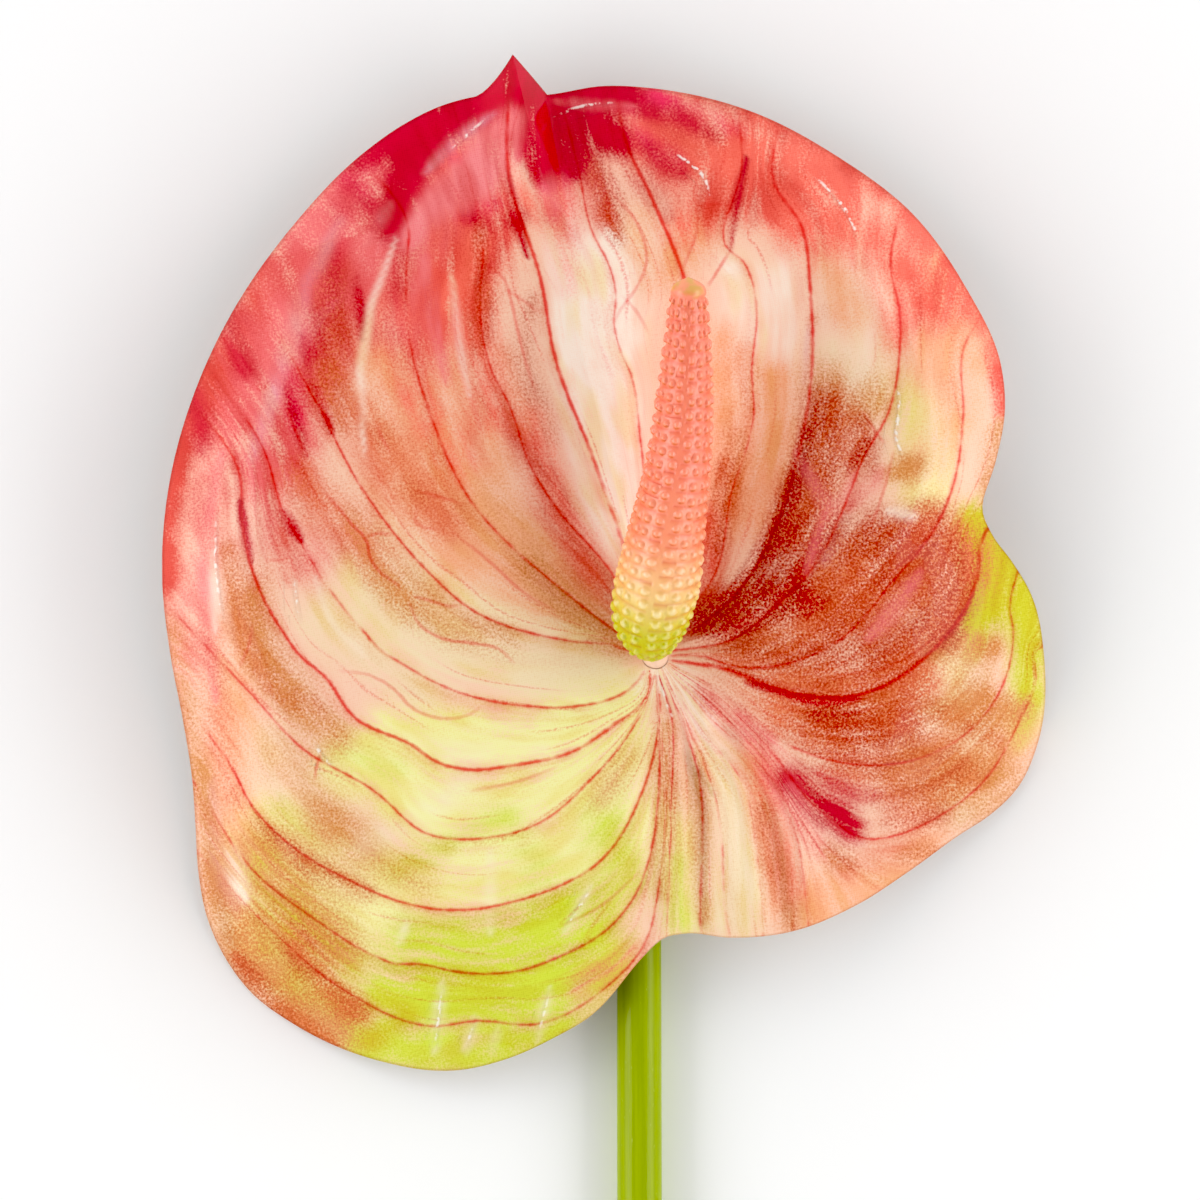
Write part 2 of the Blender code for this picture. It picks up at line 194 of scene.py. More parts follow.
def near_path(x, y, path):
    """How far each point lies from a path, on which side, and how far along the path that is."""
    nearest = np.full(np.shape(x), np.inf)
    side = np.zeros(np.shape(x))
    run = np.zeros(np.shape(x))
    passed = 0.0
    for (ax, ay), (bx, by) in zip(path, path[1:]):
        length = math.hypot(bx - ax, by - ay)
        dx, dy = (bx - ax) / length, (by - ay) / length
        t = np.clip((x - ax) * dx + (y - ay) * dy, 0, length)
        distance = np.hypot(x - ax - t * dx, y - ay - t * dy)
        closer = distance < nearest
        nearest = np.where(closer, distance, nearest)
        side = np.where(closer, np.sign((y - ay) * dx - (x - ax) * dy), side)
        run = np.where(closer, passed + t, run)
        passed += length
    return nearest, side, run


def spathe_height(bearing, radius):
    """The height of the spathe's upper face at a bearing and a distance from the seat."""
    share = radius / reach(bearing)
    crest = around(DOME, 1, bearing)
    crest_place = around(DOME, 2, bearing)
    margin = around(DOME, 3, bearing)
    seat = SEAT_HEIGHT - SEAT_TILT * np.sin(np.radians(bearing))
    climb = np.sin(math.pi / 2 * np.clip(share / crest_place, 0, 1) ** FUNNEL_POWER)
    roll = np.clip((share - crest_place) / (1 - crest_place), 0, 1) ** ROLL_POWER
    height = seat + (crest - seat) * climb - (crest - margin) * roll
    x = radius * np.cos(np.radians(bearing))
    y = radius * np.sin(np.radians(bearing))
    for _, lift, half_width, path in FOLDS:
        height = height + lift * np.exp(-((near_path(x, y, path)[0] / half_width) ** 2))
    return height


print("the spathe reaches", float(reach(CUSP_POINT)).__round__(1), "mm to the point of its cusp")

# %% [markdown]
# ## A grid that follows the margin
# The mesh is a fan: columns run out from the seat and rings run round it. Columns at even
# angles would be wide apart at the tip and crowded at the notch, so they are spaced evenly along
# the margin instead, and the nearest ones are moved onto the corners of the cusp.

# %% Columns and rings of the spathe
SEAT_ANGLE = 65.0
PEG_RADIUS = 1.9
HOLE_CLEARANCE = 0.02
HOLE_THICKNESS = 0.25
SPATHE_THICKNESS = 0.8
SPATHE_COLUMNS = 420
SPATHE_RINGS = 102
RIM_CROWDING = 0.12


def margin_bearings(count):
    """Bearings at even steps along the margin, with columns on the corners of the cusp."""
    fine = np.linspace(0, 360, 7201)
    edge = reach(fine)[:, None] * np.stack([np.cos(np.radians(fine)), np.sin(np.radians(fine))], 1)
    run = np.concatenate([[0], np.cumsum(np.hypot(*np.diff(edge, axis=0).T))])
    bearings = np.interp(np.linspace(0, run[-1], count + 1)[:-1], run, fine)
    for corner in (CUSP_START, CUSP_POINT, CUSP_END):
        bearings[np.abs(bearings - corner).argmin()] = corner
    print("the margin is", round(run[-1]), "mm round")
    return bearings


def snug_hole(bearing):
    """How far from the seat the hole's edge lies, so that it clears the leaning peg by a hair."""
    lean = math.radians(SEAT_ANGLE)
    cos, sin = np.cos(np.radians(bearing)), np.sin(np.radians(bearing))
    needed = np.zeros(np.shape(bearing))
    for depth in (0.0, HOLE_THICKNESS):
        radius = np.full(np.shape(bearing), HOLE_RADIUS)
        for _ in range(8):
            drop = (spathe_height(bearing, radius) - depth - SEAT_HEIGHT) * math.cos(lean)
            a = cos**2 + (sin * math.sin(lean)) ** 2
            b = -sin * math.sin(lean) * drop
            c = drop**2 - (PEG_RADIUS + HOLE_CLEARANCE) ** 2
            radius = (-b + np.sqrt(b * b - a * c)) / a
        needed = np.maximum(needed, radius)
    return needed


bearings = margin_bearings(SPATHE_COLUMNS)
steps = np.linspace(0, 1, SPATHE_RINGS + 1)
shares = steps + RIM_CROWDING * np.sin(math.pi * steps)
fan_bearing, fan_share = np.meshgrid(bearings, shares)
fan_inner = snug_hole(fan_bearing)
fan_radius = fan_inner + (reach(fan_bearing) - fan_inner) * fan_share
fan_x = fan_radius * np.cos(np.radians(fan_bearing))
fan_y = fan_radius * np.sin(np.radians(fan_bearing))
print("the fan has", fan_x.size, "points")

# %% [markdown]
# ## The veins as a field
# About two dozen main veins leave the seat and bend round the lobes. Modelling each as a tube
# would be heavy, and a picture of them isn't allowed. Each vein is a short path of given
# points, and the paths make a field: at every point of the fan we know between which two veins
# it lies and how far over, counted in vein turns. A whole number of turns is a vein. The same
# field later stretches streaks of colour along the veins, as on the real bract.
#
# Each row has the vein's name, half its width, how dark its ink is at even steps on the way
# out, and its path from the seat to the margin. A vein with no ink only guides the field.

# %% The main veins
VEINS = (
    ("pleat_ridge", 0.22, (0.2, 0.3, 0.2, 0.1), (
        (1.7, -2.1), (6.3, -9.9), (12.8, -18.2), (14.6, -27.2), (15.8, -41.1))),
    ("pleat_edge", 0.20, (0.3, 0.3, 0.3, 0.4, 0.3), (
        (2, -1.8), (7.3, -7.9), (18.2, -19.4), (20.6, -26), (22.4, -39.7))),
    ("lower_right_guide", 0.2, (0.3, 0.4, 0, 0), (
        (2.2, -1.5), (9.5, -7.9), (15.3, -14.2), (25.5, -28), (33.2, -34.4))),
    ("lobe_outer", 0.26, (0.4, 0.2, 0.3, 0.9, 0.9, 0.8, 0.9, 0.7, 0.7, 0.5), (
        (2.4, -1.3), (9.5, -6.1), (16.1, -12.7), (24.1, -22.3), (31, -26.4), (35.8, -25.7),
        (40, -23.9), (47.9, -18.1), (53.3, -9.1), (55.6, -3.8), (55.9, 1.6), (57.2, 2.2))),
    ("lobe_middle", 0.26, (0.4, 0.2, 0.2, 0.9, 0.9, 0.7, 0.7, 0.8, 0.6, 0.5), (
        (2.5, -1), (9.5, -5), (14.5, -9.6), (18.8, -12.3), (27.3, -15.2), (32, -15.6),
        (37.4, -14.9), (46.4, -10.1), (51.4, -2.2), (52.3, 3.2), (51.7, 7.9), (53.2, 13.3))),
    ("lobe_inner", 0.42, (0.6, 0.7, 1, 1, 1, 1, 0.9, 1, 0.8, 0.7), (
        (2.7, -0.4), (10.2, -1.6), (17.7, -4.5), (21.9, -5.5), (26.1, -5.8), (30.4, -5.1),
        (42.6, 3.6), (45.3, 7.4), (46.9, 11.7), (47.9, 18), (49, 19.3))),
    ("waist", 0.28, (0.5, 0.9, 0.9, 0.6, 0.7, 0.9, 0.8, 0.8, 0.7, 0), (
        (2.7, 0.3), (7.2, 0.3), (10.2, -0.9), (18.8, -0.9), (23.1, 0.6), (26.7, 2.6),
        (34.7, 11.4), (41, 19.4), (43.2, 24.7), (44.8, 35.3), (44.8, 44.8), (47.9, 50.5))),
    ("right_outer", 0.30, (0.6, 0.8, 0.9, 0.4, 0.8, 1, 0.9, 0.9, 0.5, 0), (
        (2.4, 1.1), (10.9, 2.6), (18.2, 8.2), (21.5, 11.4), (28.3, 24.1), (29.9, 28.5),
        (33.9, 35.8), (35.5, 44.8), (35.5, 50.2), (34.2, 57.5), (36.3, 66.8))),
    ("right_middle", 0.36, (0.6, 0.9, 0.9, 0.8, 0.6, 0.6, 0.8, 0.8, 0.7, 0), (
        (1.7, 2.1), (7.6, 5.5), (11.8, 9.3), (15, 14), (20.3, 27.3), (21.5, 32.7),
        (22.8, 43.2), (22.5, 53.3), (21.2, 62.9), (17.2, 69.2), (17.9, 78.7))),
    ("right_inner", 0.25, (0.6, 0.7, 0.7, 0.6, 0.6, 0.8, 0.7, 0.8, 0.9, 0.2), (
        (0.8, 2.6), (8.6, 12), (11.4, 25.3), (13.1, 29.9), (14.3, 35.3), (14, 41.6),
        (14.7, 51.2), (14, 54.9), (12.4, 58.1), (10.8, 59.1), (12.7, 71.7), (12.1, 81))),
    ("behind_spadix", 0.40, (0, 0, 0, 0.6, 0.9, 1, 1, 0.1), (
        (0.2, 2.7), (3.6, 40), (3.9, 56.1), (2.3, 60.3), (-0.9, 67.7), (-4.1, 74.6),
        (-5.9, 84))),
    ("tongue_right", 0.24, (0, 0.3, 0.6, 0.8, 0.7, 0.6, 0.8, 0.8, 0), (
        (-0.3, 2.7), (-2.2, 32.1), (-3.5, 41.2), (-5.1, 44.8), (-6, 48.6), (-5.7, 52.9),
        (-6.7, 57.1), (-8.9, 61.3), (-11.2, 71.4), (-14, 82.9))),
    ("midrib", 0.38, (0.3, 0.5, 0.6, 0.8, 0.9, 1, 1, 1, 0.6, 0), (
        (-0.7, 2.6), (-2.2, 8.5), (-8.8, 28.5), (-14.6, 43.8), (-16.6, 54.9), (-21.2, 69.8),
        (-20.9, 88.5))),
    ("tongue_left", 0.28, (0.4, 0.9, 0.9, 0.7, 0.7, 0.6, 0.5, 0.1, 0), (
        (-1.5, 2.2), (-6.1, 12), (-14.9, 22.6), (-17.8, 27.3), (-21.5, 37.4), (-23.7, 41.6),
        (-25, 46.4), (-25.4, 51.8), (-25, 59.1), (-30.4, 81.4))),
    ("shoulder_right", 0.30, (0.5, 0.7, 0.7, 0.6, 0.6, 0.5, 0.45, 0.35, 0), (
        (-2.2, 1.6), (-6.1, 4.2), (-13, 9.5), (-27.6, 24.1), (-32.6, 35.3), (-35.5, 45.4),
        (-36.1, 57.1), (-35.8, 62.3), (-43.4, 73.7))),
    ("shoulder_middle", 0.28, (0.4, 0.8, 0.9, 0.9, 0.9, 0.8, 0.8, 0.2, 0), (
        (-2.6, 0.7), (-6.6, 1.9), (-13, 2.6), (-27.9, 7.9), (-31.5, 11.1), (-43.2, 25.7),
        (-48.5, 35.8), (-59.3, 55.3))),
    ("shoulder_left", 0.28, (0.5, 0.8, 0.8, 0.7, 0.4, 0.35, 0.5, 0.9, 0.5, 0), (
        (-1.7, -2.1), (-2.9, -3.8), (-6.1, -5.8), (-10.8, -6.9), (-20.9, -6.7), (-25.7, -5.8),
        (-32.6, -3.2), (-36.4, -1), (-39.6, 1), (-42.6, 4.2), (-48.5, 11.8), (-51.2, 16.5),
        (-53.9, 21), (-56.5, 29.5), (-65.8, 43.5))),
    ("left_main", 0.36, (0.5, 0.7, 0.8, 0.9, 0.9, 1, 1, 1, 0.9, 0.1), (
        (-0.8, -2.6), (-0.7, -4.2), (-6.6, -10.1), (-10.8, -13), (-20.9, -15.6),
        (-26.7, -16.2), (-31.5, -15.2), (-35.2, -12.7), (-43.8, -8.5), (-48, -2.6),
        (-51.2, 0), (-54.3, 4.2), (-56.8, 8.5), (-60, 19.9), (-60.2, 26.3), (-67.9, 38.4))),
    ("lobe_left_upper", 0.28, (0.5, 0.7, 0.7, 0.8, 0.7, 0.8, 0.8, 0.7, 0.3, 0), (
        (-0.2, -2.7), (-1.3, -6.4), (-3.9, -11.1), (-10.8, -19.1), (-15, -22.8),
        (-19.3, -25), (-24.7, -26.1), (-28.9, -26.3), (-32.6, -25.7), (-41, -19.1),
        (-51.7, -12.7), (-58.1, -5.8), (-72.3, 8.9))),
    ("lobe_left_middle", 0.30, (0.5, 0.8, 0.8, 0.8, 0.8, 0.9, 1, 0.9, 0.5, 0), (
        (0.1, -2.7), (0.6, -5.8), (-0.7, -15.9), (-2.9, -21.8), (-5.5, -26.6), (-8.8, -30.2),
        (-12.4, -32.4), (-21.5, -35.6), (-26.3, -36.5), (-31.5, -36.5), (-36.4, -35.6),
        (-44.2, -32.4), (-51.7, -28.2), (-58.1, -22.3), (-62.3, -14.9), (-70.3, -4.9))),
    ("lobe_left_lower", 0.30, (0.3, 0.7, 0.8, 0.8, 0.9, 1, 0.9, 0.9, 0.4, 0), (
        (0.2, -2.7), (0.7, -13.9), (0.3, -22.3), (-0.7, -28.6), (-2.9, -34.5), (-6.1, -38.7),
        (-14, -43.5), (-18.2, -45.1), (-28.9, -45.7), (-34.2, -44.5), (-38, -44.5),
        (-40.6, -43.5), (-50.7, -37.2), (-57.1, -32.4), (-68.2, -17))),
    ("lobe_left_outer", 0.28, (0, 0.3, 0.4, 0.6, 0.7, 0.8, 0.8, 0.9, 0.6, 0), (
        (0.4, -2.7), (1, -30.2), (-2, -42.5), (-8.8, -49.3), (-13, -52), (-16.6, -53.3),
        (-26.7, -52.9), (-31.5, -53.7), (-46.4, -47.7), (-55.5, -39.9), (-67.5, -27.3))),
    ("notch_left", 0.24, (0.6, 0.7, 0.6, 0.5, 0.2), (
        (0.6, -2.7), (2, -7), (2.1, -23.9), (1.6, -41.9))),
    ("notch_middle", 0.28, (0.2, 0.6, 0.7, 0.5, 0.3), (
        (1.1, -2.4), (6.3, -16.9), (6.6, -37.2), (6.7, -40.7))),
    ("notch_right", 0.22, (0.2, 0.5, 0.4, 0.3, 0.2), (
        (1.4, -2.3), (9.2, -22.3), (10.5, -38.3), (11.1, -41.2))),
)
PATH_STEP = 1.6
print(len(VEINS), "veins and guides")

# %% [markdown]
# The field is worked out from distances. Beside the nearest vein there is a neighbour, and the
# share of the way across is the distance to one over the distance to both. A cubic curve eases
# that share, so that the field runs through each vein at an even slope and no line gets a kink.

# %% Reading the vein field
SMALLEST_GAP = 0.05


def vein_field(x, y):
    """For each point: vein turns, millimetres per turn, run along the veins, and the ink."""
    paths = [smooth_path(vein[3], PATH_STEP) for vein in VEINS]
    read = np.array([near_path(x, y, path) for path in paths])
    distance, side, run = read[:, 0], read[:, 1], read[:, 2]
    count = len(VEINS)
    nearest = distance.argmin(0)

    def take(values, index):
        return np.take_along_axis(values, np.mod(index, count)[None], 0)[0]

    way = np.where(take(side, nearest) < 0, -1, 1)
    beside = nearest + way
    here, there = take(distance, nearest), take(distance, beside)
    gap = here + there + SMALLEST_GAP
    behind = take(distance, nearest - way) - here
    beyond = take(distance, beside + way) - there
    leave = np.clip(2 * gap / (gap + np.maximum(behind, SMALLEST_GAP)), 0.5, 1.8)
    arrive = np.clip(2 * gap / (gap + np.maximum(beyond, SMALLEST_GAP)), 0.5, 1.8)
    t = here / gap
    over = (t**3 - 2 * t**2 + t) * leave + (3 - 2 * t) * t**2 + (t**3 - t**2) * arrive
    slope = (3 * t**2 - 4 * t + 1) * leave + 6 * t * (1 - t) + (3 * t**2 - 2 * t) * arrive
    along = take(run, nearest) * (1 - t) + take(run, beside) * t
    lengths = [np.hypot(*np.diff(path, axis=0).T).sum() for path in paths]
    inks = np.array([
        np.interp(run[k] / lengths[k], np.linspace(0, 1, len(vein[2])), vein[2])
        for k, vein in enumerate(VEINS)
    ])
    half_widths = np.array([vein[1] for vein in VEINS])[nearest]
    return {
        "turn": nearest + way * over,
        "gap": gap / np.maximum(slope, 0.2),
        "along": along,
        "away": here,
        "ink": take(inks, nearest),
        "half_width": half_widths,
    }


field = vein_field(fan_x, fan_y)
print("turns from", field["turn"].min().round(2), "to", field["turn"].max().round(2))

# %% [markdown]
# ## Twigs between the veins
# Short forks and dotted side veins cross from one vein towards the next, so the field can't
# hold them. Each twig writes its own signed distance on the mesh near itself. Two sets are
# enough, one for every other twig, because twigs in a set stay clear of each other.

# %% The twigs: name, half width, ink and path
TWIGS = (
    ("fork_by_spadix", 0.18, 0.70, ((10.8, 59.1), (9.2, 56.5), (7.6, 53.9))),
    ("tongue_dotted", 0.22, 0.55, ((-6.7, 71), (-6.3, 67.9), (-3.2, 64.1), (-2, 61.8),
        (-1.3, 57.2), (-2.5, 54.2), (-5.3, 50.2), (-6.4, 47.9))),
    ("dotted_a", 0.18, 0.50, ((6.3, 65.7), (6, 61.8), (4.5, 57.8), (3.5, 55.2))),
    ("cross_dots", 0.16, 0.40, ((6.3, 65.6), (8.6, 66), (10.9, 65.8))),
    ("midrib_side", 0.20, 0.60, ((-25.5, 57.8), (-21.8, 54.9), (-20.9, 51.8), (-19.9, 47.2),
        (-18.7, 42.6), (-17.4, 38.8))),
    ("midrib_link", 0.16, 0.45, ((-21.8, 53.6), (-19.4, 52.1), (-16.8, 50.1))),
    ("tongue_link", 0.16, 0.40, ((-4.8, 52.6), (-2.8, 50.5), (-1, 47.3))),
    ("shoulder_start", 0.30, 0.90, ((-48.9, 36.9), (-47.4, 34.3), (-46.4, 32.3))),
    ("shoulder_mark", 0.42, 0.95, ((-53.6, 36.5), (-52.3, 33.3), (-51, 30.1))),
    ("shoulder_thin", 0.20, 0.60, ((-40.4, 34), (-39.6, 31.8), (-38.5, 29.9))),
    ("l5", 0.26, 0.80, ((-48, 24.2), (-44.8, 20.4), (-43.4, 18.7), (-42.2, 17.7), (-41.3, 14.3),
        (-40.1, 12.6), (-37.4, 10.7), (-35.9, 9.3))),
    ("l5_link", 0.20, 0.60, ((-41.9, 17.7), (-39.9, 18.2), (-38.1, 18))),
    ("l5_join", 0.18, 0.60, ((-35.6, 9.1), (-33.3, 8.6), (-30.2, 7.6), (-28.3, 7.6))),
    ("l5_branch", 0.20, 0.70, ((-35.9, 8.5), (-34.2, 4.8), (-31, 2.9), (-26.7, 2.2),
        (-22.5, 1.3), (-20.4, -0.9))),
    ("l3_fork", 0.20, 0.55, ((-35.2, 24.5), (-32.9, 23.9), (-30.2, 23.1), (-27.6, 22.3))),
    ("l3_arc", 0.16, 0.40, ((-34.6, 21.9), (-34.9, 19.6), (-31.4, 18.7))),
    ("l4_dotted", 0.18, 0.50, ((-29.6, 18.5), (-23.9, 13.9), (-18.7, 9.2), (-14, 6.6))),
    ("l7_under", 0.18, 0.55, ((-46.1, -1.8), (-41.9, -2.3), (-38, -4.4), (-35.2, -7.3),
        (-32, -8.6), (-26.6, -8), (-25, -6.7))),
    ("left_cross", 0.18, 0.45, ((-56.5, 14.3), (-54.8, 14.2), (-53.1, 14.6))),
    ("left_faint", 0.20, 0.50, ((-58.4, 5.3), (-58.8, 2.6), (-60.4, -1.3))),
    ("l8_spot", 0.50, 0.70, ((-48.6, -13.7), (-49.2, -15.8), (-49.5, -17.7))),
    ("lobe_edge_twig", 0.20, 0.60, ((29.9, 36.1), (31.7, 33.3), (33.4, 31))),
    ("right_pale", 0.22, 0.50, ((34.7, 30.4), (33.1, 24.2), (31.1, 18.4))),
    ("lobe_inside", 0.20, 0.50, ((43.8, 27.4), (41.3, 20.1), (36.5, 14.3), (31.4, 9.9))),
    ("lower_lobe", 0.20, 0.50, ((26.3, -2.5), (32.9, -1.5), (40.1, 2.6), (45.3, 8.5))),
    ("lower_lobe_b", 0.18, 0.45, ((15.3, -6.1), (21.2, -7.9), (28.5, -7.9), (35.8, -6.1))),
    ("l10_side", 0.16, 0.45, ((-13.9, -39), (-8, -36.1), (-2.2, -31))),
    ("l9_side", 0.16, 0.45, ((-27, -19.3), (-19.7, -17.8), (-13.9, -15.6))),
)
# Sharp creases: (name, half width, strength, path). The finish paints white glints along them, a painted
# highlight, and bumps them.
WRINKLES = (
    ("by_right_margin", 0.2, 1, ((22.8, 70.4), (25, 68.5), (28.6, 63.5), (29.6, 60.5))),
    ("above_spadix", 0.2, 0.9, ((2, 74), (4.5, 72.3), (7.2, 69.8), (8, 66.5))),
    ("right_vein_gloss", 0.2, 1, ((35.2, 40.5), (35.4, 36), (34.9, 32), (36.4, 28.5))),
    ("left_edge_gloss", 0.25, 0.8, ((-63.8, 22), (-63.9, 14), (-62.9, 5))),
    ("left_fold_gloss", 0.2, 0.8, ((-52.4, 12), (-52.2, 9), (-51.4, 5))),
    ("lobe_spot_gloss", 0.2, 1, ((-49.4, -12.4), (-48, -14.8), (-46.8, -15.6))),
    ("lime_gloss_a", 0.3, 0.8, ((-31, -48), (-32.2, -57))),
    ("lime_gloss_b", 0.3, 0.7, ((-26, -52), (-27.8, -57.5))),
    ("lime_gloss_c", 0.3, 0.7, ((-15.3, -48.5), (-17.2, -55.5))),
    ("lime_gloss_d", 0.3, 0.8, ((-9.3, -33.5), (-13.2, -39.5))),
    ("cusp_gloss", 0.2, 0.8, ((-15.4, 78.6), (-11, 80.4), (-5, 81))),
    ("tip_left_gloss", 0.2, 0.8, ((-24, 79.2), (-30.2, 73.6))),
    ("seat_gloss", 0.2, 0.7, ((0.9, -3.4), (1.6, -6.6), (3, -9.4))),
)
TWIG_SETS = 2
TWIG_ROOM = 1.8


def twig_set(x, y, twigs):
    """Signed distance to the nearest twig of a set, and its ink, fading with distance and ends."""
    off = np.full(np.shape(x), TWIG_ROOM)
    ink = np.zeros(np.shape(x))
    for _, half_width, strength, path in twigs:
        path = smooth_path(path, PATH_STEP)
        distance, side, run = near_path(x, y, path)
        length = np.hypot(*np.diff(path, axis=0).T).sum()
        ends = np.sin(math.pi * np.clip(run / length, 0, 1)).clip(0, 1) ** 0.5
        near = distance < TWIG_ROOM
        off = np.where(near, distance * side, off)
        room = np.clip(1 - distance / TWIG_ROOM, 0, 1) ** 0.5
        ink = np.where(near, strength * ends * room, ink)
    return off, ink


print(len(TWIGS), "twigs")

# %% [markdown]
# ## Colour as washes
# The bract is printed like a watercolour: one wash over another, each running along the veins.
# We lay the same washes, and a few pale ones at the end are partly painted highlights along
# folds. A wash is a pigment and a few brush strokes, and each stroke has a strength, half its
# width and a path in millimetres from the seat. The mesh carries how much of each wash reaches
# each point; the finish will break up their edges later on.

# %% Pale washes, the first ones laid
PALE_WASHES = (
    ("cream", (250, 237, 222), (
        (1, 6, ((-6, 58), (-7.5, 48), (-7.5, 36), (-6, 20))),
        (0.9, 3, ((-14, 66), (-12.5, 54), (-10, 38))),
        (0.6, 3.5, ((12.5, 38), (12, 48), (11.5, 56))),
        (0.5, 3.5, ((18.5, 42), (18.5, 56))),
        (0.45, 4, ((29.5, 40), (28.5, 50), (28, 58))),
        (0.8, 3, ((-2, -4), (3, -3), (7, -9))),
        (0.6, 3, ((8, -14), (13, -26), (14, -34))),
    )),
    ("ivory", (243, 224, 186), (
        (1, 4.5, ((-6, -3), (-16, -2), (-26, 1), (-34, 6), (-42, 12))),
        (0.8, 3, ((-10, 4), (-24, 8), (-33, 13), (-39, 18))),
        (0.7, 5, ((-48, 6), (-42, 2), (-34, -4))),
        (0.6, 5, ((-60, -36), (-54, -44), (-46, -50))),
        (0.7, 5, ((9, -16), (12, -28), (12, -38))),
        (0.5, 4, ((26, 44), (29, 38), (32, 44))),
        (0.5, 5, ((-56, -12), (-54, -22))),
        (0.8, 4.5, ((41, -4), (46, -12), (44, -20))),
    )),
    ("lemon", (243, 238, 170), (
        (1, 5, ((-6, -8), (-18, -11), (-28, -12), (-38, -12), (-45, -16))),
        (0.9, 6, ((-6, -14), (-14, -20), (-24, -22), (-36, -20))),
        (0.9, 6, ((-4, -24), (-14, -30), (-24, -31), (-38, -33))),
        (0.7, 4, ((3, -26), (4.5, -38))),
        (0.7, 5, ((39, 24), (39, 33), (36, 38))),
        (0.9, 3.5, ((54.5, 8), (55.5, 0), (54, -8))),
        (0.8, 5.5, ((-56, -26), (-48, -33), (-42, -40))),
        (0.6, 5, ((-60, -38), (-54, -46), (-47, -50))),
        (0.6, 4, ((44, -2), (42, 2))),
    )),
    ("lime", (212, 222, 72), (
        (0.6, 4.5, ((-7, -24), (-5, -32), (-10, -40), (-18, -42))),
        (1, 5.5, ((-8, -45), (-20, -48), (-30, -49), (-38, -50))),
        (0.85, 4, ((-14, -55), (-26, -58), (-36, -58), (-43, -57))),
        (0.7, 4, ((-14, -37), (-24, -40), (-36, -41))),
        (0.35, 3.5, ((-14, -34), (-22, -24))),
        (0.3, 2.6, ((-22, -23), (-30, -27))),
        (0.35, 3, ((-57, -22), (-52, -24), (-46, -27))),
        (0.35, 3, ((-46, -13), (-38, -16))),
        (0.6, 3, ((53, 10), (54.5, 4), (54, -4))),
        (0.6, 2.2, ((55, -6), (52.5, -13))),
        (0.5, 3, ((3, -30), (3.5, -38))),
    )),
    ("mustard", (210, 204, 52), (
        (1, 4.4, ((47.5, 18.5), (49.5, 13), (48.5, 8))),
        (0.6, 3, ((52.5, 12), (54.5, 5), (54.5, -4))),
        (0.6, 2.5, ((47, 5), (46, 1))),
        (0.5, 2.2, ((55.5, -6), (53, -13))),
        (0.5, 2, ((-40, -49), (-36, -52), (-42, -56))),
        (0.4, 3, ((-32, -47), (-24, -47))),
        (0.6, 5, ((-60, -28), (-52, -37), (-45, -44))),
        (0.5, 4, ((-58, -43), (-51, -50), (-43, -55))),
        (0.35, 3, ((-54, -22), (-46, -27), (-38, -31))),
        (0.4, 3, ((-4, -30), (-7, -38))),
        (0.4, 2.5, ((-36, -30), (-30, -27))),
    )),
)
print(len(PALE_WASHES), "washes so far")

# %% [markdown]
# Over the pale ground go the warm colours of flesh and rust. They carry most of the pattern, so
# they have the most strokes.

